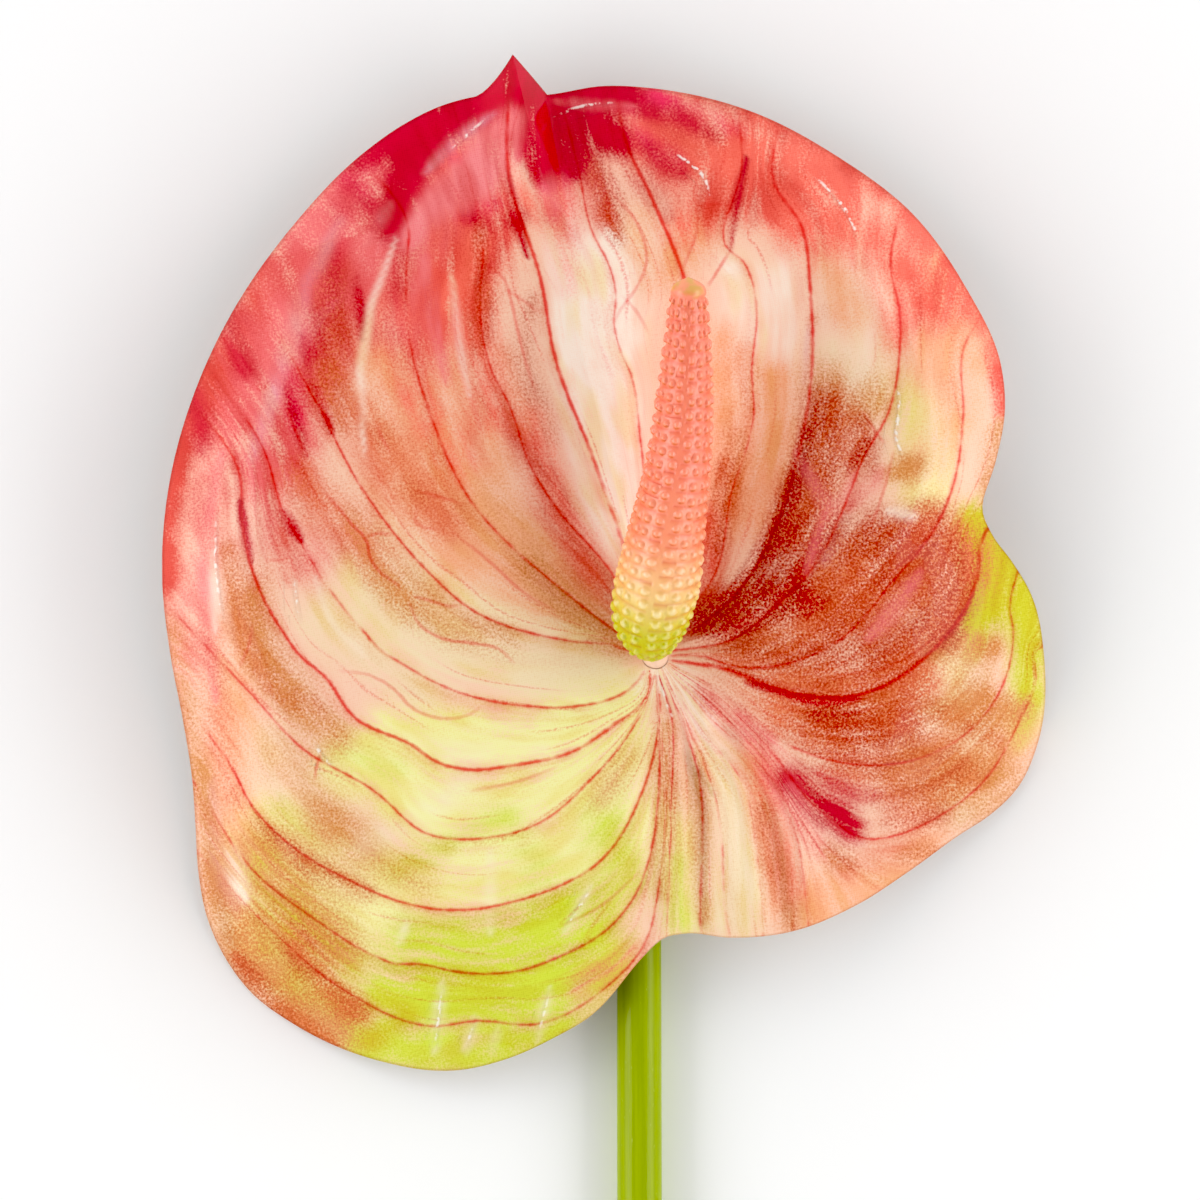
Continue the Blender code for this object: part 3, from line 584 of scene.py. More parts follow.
# %% Warm washes
WARM_WASHES = (
    ("peach", (244, 180, 142), (
        (0.8, 6, ((-36, 24), (-28, 16), (-18, 12))),
        (0.7, 6, ((-41, 42), (-38, 32), (-30, 22))),
        (0.6, 5, ((-31, 50), (-30, 38), (-25, 28))),
        (0.6, 4, ((10, 46), (11, 32), (9, 20))),
        (0.8, 4, ((17, 40), (18, 32), (15, 22))),
        (0.8, 6, ((40, 44), (46, 46), (43, 58))),
        (0.6, 4, ((-3, 62), (0, 55), (6, 62))),
        (0.6, 4.5, ((-61, 8), (-61, -6), (-63, -16), (-61, -26))),
        (0.9, 5, ((24, -36), (32, -33), (40, -29))),
        (0.5, 4, ((38, 28), (44, 36))),
        (0.6, 4, ((26, 60), (28, 50))),
        (0.5, 5, ((-22, 20), (-12, 8))),
        (0.7, 3, ((14, -14), (17, -26), (20, -38))),
        (0.6, 5, ((42, -14), (50, -18), (54, -12))),
    )),
    ("salmon", (248, 120, 102), (
        (1, 6.5, ((0, 76), (12, 73), (24, 70))),
        (0.6, 6, ((22, 66), (33, 60), (39, 53))),
        (0.8, 2.4, ((14, 80), (26, 74), (36, 67), (44, 57), (49.5, 46),
                    (51, 36))),
        (0.6, 3.5, ((4, 62), (9, 66), (18, 66), (22, 60))),
        (0.9, 6, ((-29, 72), (-28, 62), (-33, 50))),
        (0.6, 4, ((-22, 66), (-25, 56), (-26, 44), (-24, 36))),
        (0.5, 5, ((-38, 54), (-35, 38), (-30, 28))),
        (0.6, 4, ((-12, 72), (-14, 66))),
        (0.35, 3, ((-14, 65), (-13, 54))),
        (0.5, 3.5, ((-18, 34), (-14, 22), (-9, 12))),
        (0.5, 3.5, ((42, 51), (45, 54))),
        (0.5, 3, ((16, -16), (18, -28), (20, -34))),
        (0.4, 3, ((35, 46), (36, 58))),
    )),
    ("rose", (236, 116, 116), (
        (1, 7, ((-38, 74), (-48, 63), (-56, 52), (-61, 40))),
        (0.8, 5, ((-40, 66), (-46, 52), (-50, 40), (-54, 28))),
        (0.5, 5, ((-62, 36), (-66, 22), (-67.5, 8), (-68, 0))),
        (0.5, 5, ((-58, 28), (-56, 18), (-50, 14))),
        (0.6, 5, ((-24, 76), (-26, 68), (-36, 58), (-37, 48))),
        (0.55, 2.6, ((7, -5), (13, -11), (18, -18), (24, -28))),
        (0.7, 2.2, ((39, 12), (34, 7), (31, 3))),
        (0.5, 2, ((28, 22), (33, 27))),
        (0.5, 3, ((-11, -48), (-3, -43))),
        (0.4, 3.5, ((-12, 63), (-11, 70))),
        (0.2, 3.5, ((-65, -10), (-65, -24), (-63, -36))),
    )),
    ("coral", (224, 84, 70), (
        (1, 3.2, ((-65, 42), (-69.5, 32), (-72, 20), (-72, 12))),
        (0.3, 2, ((-72, 14), (-71, 0), (-68.5, -12))),
        (0.5, 3, ((-52, 28), (-48, 20), (-42, 16))),
        (0.4, 4, ((-44, 34), (-38, 24), (-32, 20))),
        (0.4, 3, ((28, -31), (36, -28))),
        (0.2, 1.8, ((-30, 46), (-29, 36), (-24, 28))),
        (0.5, 4, ((-56, 56), (-61, 48), (-66, 36))),
        (0.6, 4, ((-47, 56), (-46, 46), (-47, 38))),
        (0.6, 2, ((-4, 83), (4, 82.5), (14, 80), (24, 75), (34, 68))),
        (0.5, 4, ((1, 70), (8, 66), (18, 68))),
        (0.5, 3, ((1, 78), (7, 74))),
        (0.6, 3, ((-19, 32), (-14.5, 22), (-9.5, 13), (-6, 8))),
        (0.35, 2.2, ((-26, 54), (-25, 44), (-21, 34))),
        (0.2, 2.2, ((-36.5, 62), (-36, 50), (-33, 38))),
        (0.7, 3, ((8, 20), (8, 11), (6, 5))),
        (0.4, 3.5, ((-32, 66), (-28, 58))),
        (0.5, 2.5, ((-54, 18), (-53, 12))),
        (0.6, 3, ((-9, 70), (-7, 64))),
        (0.2, 3, ((3, -7), (10, -15), (16, -22))),
    )),
    ("terracotta", (230, 128, 92), (
        (0.9, 7, ((14, 3), (26, 8), (36, 12), (42, 14))),
        (0.9, 6, ((20, -6), (32, -6), (37, -3))),
        (0.6, 5, ((26, -14), (34, -16), (38, -22))),
        (0.6, 5, ((20, 20), (26, 30))),
        (0.5, 4, ((-52, 26), (-46, 20), (-40, 14))),
        (0.5, 4, ((-42, 36), (-36, 26), (-30, 20))),
        (0.5, 3, ((-58, 12), (-58, 2), (-54, -4))),
        (0.4, 3, ((-64, 4), (-63.5, -8), (-62, -20))),
        (0.4, 3, ((-14, 12), (-7, 5))),
        (0.2, 3, ((12, 44), (12, 30))),
        (0.4, 3, ((-22, 44), (-19, 34))),
    )),
    ("tan", (221, 154, 98), (
        (0.7, 3.6, ((-59, 8), (-57, 0), (-52, -6), (-47, -11))),
        (0.4, 4, ((-56, -14), (-50, -20), (-44, -26))),
        (0.4, 3, ((-44, 20), (-40, 12), (-36, 7))),
        (0.7, 4.5, ((-63, -34), (-60, -42), (-54, -50), (-46, -55))),
        (0.6, 5, ((-58, -28), (-52, -34), (-46, -42))),
        (0.4, 3.5, ((-48, -24), (-40, -30), (-34, -33))),
        (0.6, 2.2, ((-66, -16), (-65, -26), (-63.5, -36))),
        (0.5, 3, ((-71, 4), (-69, -6), (-67, -18))),
        (0.9, 2.5, ((40, 1.5), (44, 2), (49, 1.5))),
        (0.8, 2.5, ((40, -8), (46, -7.5), (54, -7.5))),
        (0.9, 2.2, ((40, -15), (45, -16), (49, -16))),
        (0.6, 4, ((46, -4), (50, -10), (51, -17))),
        (0.6, 5, ((36, -12), (40, -19), (47, -21))),
        (0.6, 4, ((25, 40), (29, 36), (32, 38))),
        (0.7, 2.5, ((35, 27), (38, 28))),
        (0.6, 2.2, ((48.5, 24), (50, 34))),
        (0.5, 3.5, ((-36, 10), (-30, 5), (-22, 3))),
        (0.6, 3, ((-18, 13), (-10, 6), (-5, 2))),
        (0.5, 2.5, ((1.5, -10), (1.5, -22), (1, -34))),
        (0.5, 2, ((6.5, -14), (6.5, -30), (7, -38))),
        (0.4, 3, ((-4, -14), (-8, -20))),
        (0.3, 4, ((-24, 24), (-20, 16))),
    )),
    ("ochre", (214, 120, 66), (
        (0.8, 2, ((-61, -44), (-55, -51.5), (-47, -57))),
        (0.7, 2.8, ((-52, -43), (-48, -48), (-43, -52))),
        (0.5, 3, ((-56, -38), (-50, -41))),
        (0.5, 2.5, ((-57, -24), (-50, -30), (-42, -34))),
        (0.6, 2.2, ((-62, 16), (-60, 4), (-56, -4))),
        (0.4, 2.5, ((-54, -6), (-49, -7))),
        (0.4, 3, ((-46.5, 42), (-46, 34))),
        (0.3, 2, ((14, 36), (14.5, 42))),
        (0.6, 2.5, ((25.5, -28), (28, -30))),
        (0.6, 2, ((36, -29), (41, -28))),
        (0.6, 4, ((33, -8), (38, -12), (42, -15))),
        (0.55, 3, ((34, -17), (40, -18.5), (46, -17))),
        (0.5, 2.2, ((40, -7), (45, -9.5), (50, -12))),
        (0.5, 2.5, ((39, 22), (44, 18))),
        (0.5, 2.2, ((15.5, -22), (18, -32), (20, -39))),
        (0.3, 1.6, ((22.5, 48), (24.5, 51))),
        (0.4, 3, ((12, 32), (11, 22))),
    )),
    ("brick", (204, 80, 50), (
        (0.8, 4, ((25, 36), (24, 28), (21, 19))),
        (0.7, 5, ((28, 17), (34, 17), (39.5, 13))),
        (0.8, 4.5, ((24, -8), (30, -10), (36, -9))),
        (0.7, 4.5, ((22, 10), (28, 6), (33, 11), (40, 17))),
        (0.6, 2.4, ((42.5, 15), (43, 8), (41, 3))),
        (0.6, 3.5, ((14, 2), (24, 0), (34, 0), (40, 4))),
        (0.3, 4, ((28, -14), (34, -18), (39, -20))),
        (0.3, 2.5, ((34, -24), (42, -23))),
        (0.5, 2.5, ((10.5, 28), (9, 16))),
        (0.6, 2.2, ((-9.5, 72.5), (-7, 67), (-5.5, 61))),
        (0.45, 3, ((-47.5, 55), (-46.5, 47), (-48.5, 40))),
        (0.4, 2.2, ((-25.5, 62), (-24.5, 53), (-25.5, 45))),
        (0.35, 2.2, ((-18, 52), (-19.5, 44), (-15, 32))),
        (0.5, 2.5, ((31, 28), (30, 34))),
        (0.2, 1.6, ((-18, 30), (-12, 18), (-8, 10))),
        (0.4, 1.5, ((46, 10), (43, 1))),
    )),
    ("wine", (192, 14, 28), (
        (0.95, 3, ((7, 5.5), (13, 8.5), (20, 10.5))),
        (0.85, 2.4, ((10, 4), (16, 6.5), (23, 8))),
        (0.45, 2.4, ((18, 14), (22, 20))),
        (0.8, 1.7, ((12, 10), (17, 17), (20.5, 26), (22, 33))),
        (0.6, 1.3, ((18, 9), (23.5, 16), (26.5, 21))),
        (0.5, 1.6, ((23, -8.5), (30, -7.5))),
        (0.5, 1.2, ((28, 27), (31, 32))),
        (0.35, 2.5, ((28, -11), (32, -10))),
        (0.3, 1.4, ((24, 37), (22, 30))),
    )),
)
print(len(WARM_WASHES), "washes so far")

# %% [markdown]
# Last come the deepest reds round the cusp, and thin pale strokes over them where the light
# lies along a fold: shell, lilac and milk are partly painted highlights, laid as colour. Thin
# strokes go on top, or the wide ones would drown them.

# %% Deep and thin washes
DEEP_WASHES = (
    ("magenta", (236, 52, 96), (
        (0.9, 2.6, ((-14, 80.5), (-8, 82), (2, 81))),
        (0.8, 2.6, ((-11.5, 73), (-15.5, 69))),
        (0.6, 2, ((-19, 80), (-19.5, 73))),
        (0.7, 2.2, ((-27, 72), (-33, 74), (-38, 70))),
        (0.6, 2.4, ((-40, 75), (-45, 70), (-41, 66))),
        (0.6, 2.4, ((-3, 76), (3, 72))),
        (0.5, 2.2, ((-28, 64), (-23, 66))),
        (0.2, 1.6, ((-37, 62), (-38, 54), (-36, 46))),
        (0.25, 2, ((-45, 62), (-48, 54))),
        (0.5, 2.2, ((-53, 42), (-52, 34))),
        (0.3, 1.8, ((12, -8), (17, -12))),
        (0.5, 2.2, ((4, 80), (12, 77))),
    )),
    ("carmine", (206, 14, 50), (
        (0.35, 2.2, ((-10, 72), (-7.5, 68), (-6.5, 64))),
        (0.7, 2.2, ((-2, 80), (3, 79), (9, 76))),
        (0.6, 2.4, ((-1, 74), (4, 70.5))),
        (0.75, 0.8, ((-22, 71.5), (-20.5, 66), (-18.6, 58))),
        (0.5, 2.2, ((-27.5, 64.5), (-24, 62.5), (-19.5, 64))),
        (0.8, 0.6, ((13.4, 73), (12.4, 69.5), (11.6, 65), (10.6, 59))),
        (0.85, 0.7, ((-43.6, 55.5), (-42.8, 51), (-42.6, 46))),
        (0.5, 2.6, ((-44.5, 68.5), (-46, 64))),
        (0.5, 2.8, ((-46.5, 59), (-48, 52), (-49.5, 45))),
        (0.8, 0.9, ((-53.8, 40.5), (-52.4, 35), (-50.6, 29))),
        (0.75, 0.8, ((-49.6, 40), (-48.2, 36), (-46.8, 32.5))),
        (0.6, 0.8, ((-51.5, 47), (-50.6, 43.5), (-50.2, 40))),
        (0.9, 0.8, ((-60.3, 23), (-59.6, 18.5), (-58.6, 14))),
        (0.7, 1, ((-54.2, 21.5), (-52.6, 19), (-51.4, 17))),
        (0.6, 3, ((-62.5, 51), (-61, 46), (-60, 42))),
        (0.6, 2.6, ((-67.8, 39), (-66.5, 35), (-66, 31))),
        (0.4, 2.2, ((-41.5, 66), (-40, 62))),
        (0.4, 2.2, ((-36, 62), (-37, 54))),
        (0.2, 2, ((-34.9, 50), (-34.5, 41))),
        (0.9, 2.9, ((20, -17.5), (24, -21.5), (29, -25))),
        (0.5, 2, ((24, -17), (28, -19.5), (32, -20))),
        (0.8, 0.9, ((13, -3.4), (18, -4.9), (23, -6.3), (30, -5.8))),
        (0.4, 2, ((-4, 72), (2, 64))),
        (0.4, 2, ((-22, 60), (-25, 55))),
    )),
    ("crimson", (208, 0, 48), (
        (1, 4.5, ((-21, 90), (-21, 83))),
        (1, 5, ((-21, 92), (-21, 84), (-22, 82.5))),
        (1, 3, ((-20, 82.5), (-30, 79.5), (-38, 76))),
        (0.7, 2.4, ((-36, 77), (-43.5, 72))),
        (1, 3.2, ((-32, 77), (-35.5, 71.5), (-37.6, 63))),
        (1, 2.6, ((-20, 81.5), (-12, 82.5), (-3, 82))),
        (0.95, 3.8, ((-18, 78), (-12.5, 75))),
        (0.8, 3, ((-10, 78.5), (-5, 75))),
        (0.9, 2.6, ((-16.8, 78), (-16, 70.5))),
        (0.7, 1.6, ((-12.5, 75), (-11.5, 70))),
    )),
    # partly painted highlight: pale pink on the facet under the tip, along the left margin and beside
    # veins
    ("shell", (243, 140, 142), (
        (0.85, 2.6, ((-21, 78.5), (-26.5, 72.5), (-31.5, 66.5), (-35.8, 61))),
        (0.7, 2.6, ((-21, 76), (-23.5, 71), (-28, 66))),
        (0.5, 2.2, ((-14.5, 69.5), (-15, 64))),
        (0.4, 1, ((-15, 81.3), (-9, 80.6), (-3, 80.4))),
        (0.5, 1.6, ((-62.8, 30), (-65.2, 20), (-65.5, 8), (-64, -6))),
        (0.5, 1.6, ((-33.5, 58), (-31.8, 48), (-30.5, 40))),
        (0.5, 1.4, ((20.5, 30), (25, 22), (22, 12))),
        (0.5, 1.6, ((31, 3), (34.5, 7), (38.5, 12.5))),
        (0.4, 1.2, ((26, 20), (29, 27))),
        (0.35, 2, ((13, -9), (19, -15), (22, -22))),
    )),
    # partly painted highlight: pale lilac bands where the light lies along folds
    ("lilac", (226, 160, 176), (
        (0.4, 1.3, ((-23.5, 79.3), (-29, 75.5), (-33.5, 70.5))),
        (0.4, 1.8, ((-45.8, 63.7), (-51.3, 52.6), (-54.9, 39.9), (-58.6, 28.9))),
        (0.3, 1.6, ((-38.5, 66), (-42, 60))),
        (0.3, 1.4, ((21.5, 40), (22.5, 48))),
        (0.35, 1.4, ((24.5, 14), (28, 21))),
        (0.3, 1.6, ((-64.5, -18), (-64, -30), (-61, -38))),
    )),
    # partly painted highlight: milky streaks on the lower lobe and along folds where the light catches
    ("milk", (252, 244, 230), (
        (0.4, 1.2, ((-31, -47), (-32.2, -58))),
        (0.35, 1, ((-26, -52), (-27.8, -58))),
        (0.3, 0.9, ((-22.5, -53), (-24, -58))),
        (0.4, 1.1, ((-15.3, -48), (-17.2, -56))),
        (0.4, 1, ((-9.3, -33), (-13.2, -40))),
        (0.4, 0.9, ((-36, -38), (-37.5, -42))),
        (0.35, 3, ((-42, -27), (-35, -24), (-28, -18))),
        (0.35, 1.4, ((-24, -28), (-24, -40))),
        (0.25, 1.6, ((-64, 12), (-62, 2), (-61, -6))),
        (0.5, 0.8, ((-37.6, 61), (-41.3, 50.8), (-42.8, 41.7), (-42.2, 29))),
        (0.4, 0.9, ((-29.6, 56), (-28.6, 46), (-27, 38))),
        (0.4, 0.9, ((-49.5, 12), (-47, 6), (-42, 0))),
        (0.5, 1, ((33.5, 21.5), (38, 20.5))),
        (0.5, 2, ((-62, -28), (-60, -35))),
        (0.3, 1, ((-64.5, 16), (-64, 4))),
        (0.3, 1.8, ((-16, -13), (-30, -13.5), (-36, -11))),
    )),
)
WASHES = (*PALE_WASHES, *WARM_WASHES, *DEEP_WASHES)
print(len(WASHES), "washes,", sum(len(wash[2]) for wash in WASHES), "strokes")

# %% [markdown]
# ## How a stroke lies
# A round brush would leave a sausage. These strokes fall off softly to the sides, and narrow ones
# thin out at both ends, as a lifted brush does. Strokes of one wash add up as layers of glass do:
# each lets through a share of what is still bare, so the sum never passes 1.

# %% The strength of a wash
BLUNT_FROM = 3.5
BELLY_POWER = 0.7
LEAST_WIDTH = 0.15


def wash_strength(x, y, strokes):
    """How much of a wash lies at each point, from 0 to 1. Narrow strokes thin at their ends."""
    bare = np.ones(np.shape(x))
    for strength, half_width, path in strokes:
        distance, _, run = near_path(x, y, path)
        length = sum(math.dist(start, end) for start, end in zip(path, path[1:]))
        belly = np.sin(math.pi * np.clip(run / length, 0, 1)).clip(0, 1) ** BELLY_POWER
        blunt = min(1.0, half_width / BLUNT_FROM)
        width = half_width * (blunt + (1 - blunt) * belly) + LEAST_WIDTH
        bare = bare * (1 - strength * np.exp(-((distance / width) ** 2)))
    return 1 - bare


print("a stroke narrower than", BLUNT_FROM, "mm thins out at its ends")

# %% [markdown]
# ## Relief that the eye catches
# A glossy surface shows relief through its highlights. The blade is quilted: it sinks a little
# along each vein and swells between them. A bump node could fake it, but the mesh is fine
# enough to carry it, so it also shows in the outline and from the side. It fades out at the
# margin, which has to keep its place on the table, and a few sharp creases are added by name.

# %% Fine relief of the spathe
VEIN_SINK = 0.22
VEIN_SINK_WIDTH = 0.9
QUILT_SWELL = 0.28
QUILT_WIDTH = 9.0
UNEVENNESS = 0.22
UNEVEN_SIZE = 11.0
RELIEF_ENDS = (0.90, 0.99)
CREASES = (
    ("pleat_dimple", -0.8, 0.8, ((6.9, -16.5), (8.9, -19.4))),
    ("pleat_edge", 0.6, 0.9, ((18.2, -19.4), (20.6, -26), (22, -38.8))),
    ("pleat_fine_a", -0.35, 0.7, ((4.4, -14), (5, -24), (5.2, -36))),
    ("pleat_fine_b", -0.4, 0.8, ((9.5, -14), (11, -24), (11.6, -38))),
    ("pleat_fine_c", -0.3, 0.8, ((12.2, -11.5), (18, -17), (26, -30))),
    ("cusp_wrinkle", -0.4, 0.9, ((-15.5, 78.5), (-9.5, 81.2))),
    ("tip_wrinkle", 0.35, 0.9, ((-30, 74.5), (-24, 77.8))),
    ("lobe_wrinkle_a", 0.3, 1.3, ((48.3, -3.4), (50.4, -12))),
    ("lobe_wrinkle_b", -0.3, 1.4, ((45, -2), (44, -8))),
    ("lower_glint_a", 0.4, 1.8, ((-19, -47), (-16.5, -52.5))),
    ("lower_glint_b", 0.4, 1.8, ((-31.5, -43), (-33, -53))),
)


def fade(value, start, end):
    """One before start, nought after end, smooth between."""
    t = np.clip((value - start) / (end - start), 0, 1)
    return 1 - t * t * (3 - 2 * t)


def fine_relief(x, y, share, field):
    """Millimetres to add to the height: quilting, a little unevenness and the creases."""
    over = np.mod(field["turn"], 1)
    swell = QUILT_SWELL * np.sin(math.pi * over) * np.clip(field["gap"] / QUILT_WIDTH, 0, 1)
    sink = VEIN_SINK * field["ink"] * np.exp(-((field["away"] / VEIN_SINK_WIDTH) ** 2))
    wave = [noise.noise((a / UNEVEN_SIZE, b / UNEVEN_SIZE, 0.0)) for a, b in zip(x.flat, y.flat)]
    height = swell - sink + UNEVENNESS * np.reshape(wave, x.shape)
    for _, lift, half_width, path in CREASES:
        height = height + lift * np.exp(-((near_path(x, y, path)[0] / half_width) ** 2))
    return height * fade(share, *RELIEF_ENDS)


relief = fine_relief(fan_x, fan_y, fan_share, field)
fan_z = spathe_height(fan_bearing, fan_radius) + relief
print("relief from", relief.min().round(2), "to", relief.max().round(2), "mm")

# %% [markdown]
# ## From points to a closed sheet
# A Solidify modifier would do, but its edge stays as thick as the middle. A bract thins out
# towards its margin, so the lower face is laid by hand, a thickness below the upper one along
# the surface's own normal. The section is a closed loop: out over the top, back underneath.

# %% Building meshes from grids
SHARP_FROM = 55.0


def grid_mesh(name, points, close_rings=False):
    """A mesh of quads through a grid of points, closed round the columns."""
    rings, columns = points.shape[:2]
    index = np.arange(rings * columns).reshape(rings, columns)
    if close_rings:
        index = np.vstack([index, index[:1]])
    following = np.roll(index, -1, axis=1)
    faces = np.stack([index[:-1], index[1:], following[1:], following[:-1]], -1).reshape(-1, 4)
    mesh = bpy.data.meshes.new(name)
    inside = np.clip(placed(points.reshape(-1, 3)), cad_box[0], cad_box[1])
    mesh.from_pydata(inside, [], faces.tolist())
    mesh.shade_smooth()
    mesh.set_sharp_from_angle(angle=math.radians(SHARP_FROM))
    return mesh, faces


def tag(mesh, name, values, domain="POINT", kind="FLOAT"):
    """Writes a value for each point or face corner, for the finish to read by name."""
    made = mesh.attributes.new(name, kind, domain)
    key = "vector" if kind == "FLOAT_VECTOR" else "value"
    made.data.foreach_set(key, np.ascontiguousarray(values, np.float32).ravel())


def normals_of(points):
    """The way up at each point of a fan, from its neighbours along and around."""
    out = np.gradient(points, axis=0)
    round_ = np.roll(points, -1, axis=1) - np.roll(points, 1, axis=1)
    up = np.cross(out, round_)
    return up / np.linalg.norm(up, axis=-1, keepdims=True)


def add_piece(name, mesh, node):
    """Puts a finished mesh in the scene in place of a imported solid."""
    piece = bpy.data.objects.new(name, mesh)
    bpy.context.scene.collection.objects.link(piece)
    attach(piece, BODY)
    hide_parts(node)
    print(name, "has", sum(len(face.vertices) - 2 for face in mesh.polygons), "triangles")


print("edges sharper than", SHARP_FROM, "degrees stay sharp")

# %% [markdown]
# The sheet is 0.8 mm thick, thins to half a millimetre at its margin, and is thinnest at the
# hole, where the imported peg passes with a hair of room. The vein turns count up round the
# seat and jump from the last vein back to nought. A value on points would smear across that
# jump, so turns are written on face corners, where each face can be told the number that suits it.

# %% The spathe's mesh
MARGIN_THICKNESS = 0.5
THINS_FROM = 0.94
THICK_FROM = 0.03
upper = np.stack([fan_x, fan_y, fan_z], -1)
thickness = MARGIN_THICKNESS + (SPATHE_THICKNESS - MARGIN_THICKNESS) * fade(fan_share, THINS_FROM, 1)
thickness = thickness - (SPATHE_THICKNESS - HOLE_THICKNESS) * fade(fan_share, 0.0, THICK_FROM)
lower = upper - normals_of(upper) * thickness[..., None]
spathe_mesh, spathe_faces = grid_mesh("spathe", np.concatenate([upper, lower[::-1]]), True)
print("the sheet is", thickness.min().round(2), "to", thickness.max().round(2), "mm thick")

# %% [markdown]
# ## What the spathe's finish reads
# The finish can only read what the mesh carries. A few dozen values would be a few dozen
# readings, so three values share one vector, and the finish takes the vector apart again.

# %% Values for the spathe's finish
FAN_RADIUS = 40.0


def both_faces(values):
    """The same values on the upper and the lower face."""
    return np.concatenate([values, values[::-1]])


def tag_trio(mesh, name, *values):
    """Writes up to three values for each point of both faces, as the parts of one vector."""
    trio = np.stack([*values, *[fan_x * 0] * (3 - len(values))], -1)
    tag(mesh, name, both_faces(trio), kind="FLOAT_VECTOR")


turn = both_faces(field["turn"]).ravel()[spathe_faces]
turn = turn - len(VEINS) * np.round((turn - turn[:, :1]) / len(VEINS))
tag(spathe_mesh, "vein_turn", turn, domain="CORNER")
tag_trio(spathe_mesh, "vein_line", field["gap"], field["ink"], field["half_width"])
angle = field["turn"] * (2 * math.pi / len(VEINS))
tag_trio(spathe_mesh, "vein_way", FAN_RADIUS * np.cos(angle), FAN_RADIUS * np.sin(angle), field["along"])
strengths = [wash_strength(fan_x, fan_y, strokes) for _, _, strokes in WASHES]
for first in range(0, len(WASHES), 3):
    tag_trio(spathe_mesh, f"washes_{first // 3}", *strengths[first:first + 3])
for number in range(TWIG_SETS):
    tag_trio(spathe_mesh, f"twigs_{number}", *twig_set(fan_x, fan_y, TWIGS[number::TWIG_SETS]))
tag_trio(spathe_mesh, "wrinkles", *twig_set(fan_x, fan_y, WRINKLES), fan_share)
tag_trio(spathe_mesh, "plan", fan_x, fan_y)
tag(spathe_mesh, "back", np.concatenate([fan_x * 0, fan_x * 0 + 1]))
print("the spathe carries", len(spathe_mesh.attributes), "sets of values")
add_piece("spathe_blade", spathe_mesh, "spathe")

# %% [markdown]
# ## The spadix
# The spadix carries rows of small rounded florets. Copies of one floret would be many objects;
# a displacement texture would need a bake. A fine tube whose radius swells by a formula at each
# floret gives true relief in one mesh. A mould seam runs along it, facing up and a little to the
# right: the florets fade out there, and the rows of the two halves don't quite meet.

# %% The bend and girth of the spadix
SPADIX_LENGTH = 60.4
SPADIX_LIFT = ((0.0, 63.0), (0.08, 50.0), (0.22, 30.0), (0.45, 19.0), (1.0, 14.0))
SPADIX_SWING = (
    (0.0, 116.0), (0.06, 100.0), (0.14, 82.0), (0.3, 80.0), (0.5, 81.0), (0.65, 85.5),
    (0.82, 87.5), (1.0, 91.0),
)
SPADIX_GIRTH = (
    (0.0, 0.0), (0.012, 2.3), (0.03, 3.5), (0.07, 4.9), (0.13, 6.0), (0.19, 6.4),
    (0.26, 6.4), (0.34, 5.95), (0.46, 5.4), (0.6, 4.8), (0.75, 4.2), (0.88, 3.4),
    (0.95, 2.85), (0.985, 1.75), (1.0, 0.0),
)
UNDER_SEAT = 1.2
PEG_LENGTH = 4.9
FIT_GAP = 0.3


def seat_direction():
    """Which way the peg points: up, leaning towards the tip of the spathe."""
    lean = math.radians(SEAT_ANGLE)
    return np.array([0.0, math.cos(lean), math.sin(lean)])


def receptacle_top():
    """The middle of the receptacle's top, right under the hole in the spathe."""
    return np.array([0.0, -UNDER_SEAT / math.tan(math.radians(SEAT_ANGLE)), SEAT_HEIGHT - UNDER_SEAT])


def spadix_line(shares):
    """Points along the spadix's middle, and at each one the way it runs."""
    lift = np.radians(through_points(*zip(*SPADIX_LIFT), shares))
    swing = np.radians(through_points(*zip(*SPADIX_SWING), shares))
    ways = np.stack([np.cos(lift) * np.cos(swing), np.cos(lift) * np.sin(swing), np.sin(lift)], 1)
    step = np.diff(shares)[:, None] * SPADIX_LENGTH
    middle = (ways[1:] + ways[:-1]) / 2 * step
    start = receptacle_top() + seat_direction() * (PEG_LENGTH + FIT_GAP)
    return start + np.concatenate([np.zeros((1, 3)), np.cumsum(middle, axis=0)]), ways


print("the spadix ends at", spadix_line(np.linspace(0, 1, 61))[0][-1].round(1))

# %% [markdown]
# ## Florets as relief
# Sixteen columns of florets run up the spadix. Inside each floret's cell the two shares a and b
# run from -1 to 1 across and along it, and a rounded bump is raised where both are small. Each
# cell draws steady random numbers for its size and place, because living rows are never quite
# even.

# %% Florets
SPADIX_ROWS = 420
SPADIX_SIDES = 224
FLORET_ROWS = 30
FLORET_COLUMNS = 16
FLORET_HEIGHT = 0.66
FLORET_SPAN = (0.035, 0.955)
ROW_RIDGE = 0.12
SEAM_TURN = ((0.0, 76.0), (0.3, 83.0), (0.6, 89.0), (1.0, 91.0))
SEAM_STRIP = 2.6
SEAM_SLIP = 0.34
LINE_DEPTH = 0.05
FLORET_DRIFT = 0.24
LINE_HALF_WIDTH = 1.2
SEAM_WIDTH = 2.0


def wear_of(row, column):
    """A steady random number from -1 to 1 for each floret."""
    spots = zip(np.floor(row).flat, np.floor(column).flat)
    return np.reshape([noise.cell((r * 3.1 + 7, c * 5.3 + 3, 1.5)) for r, c in spots], row.shape)


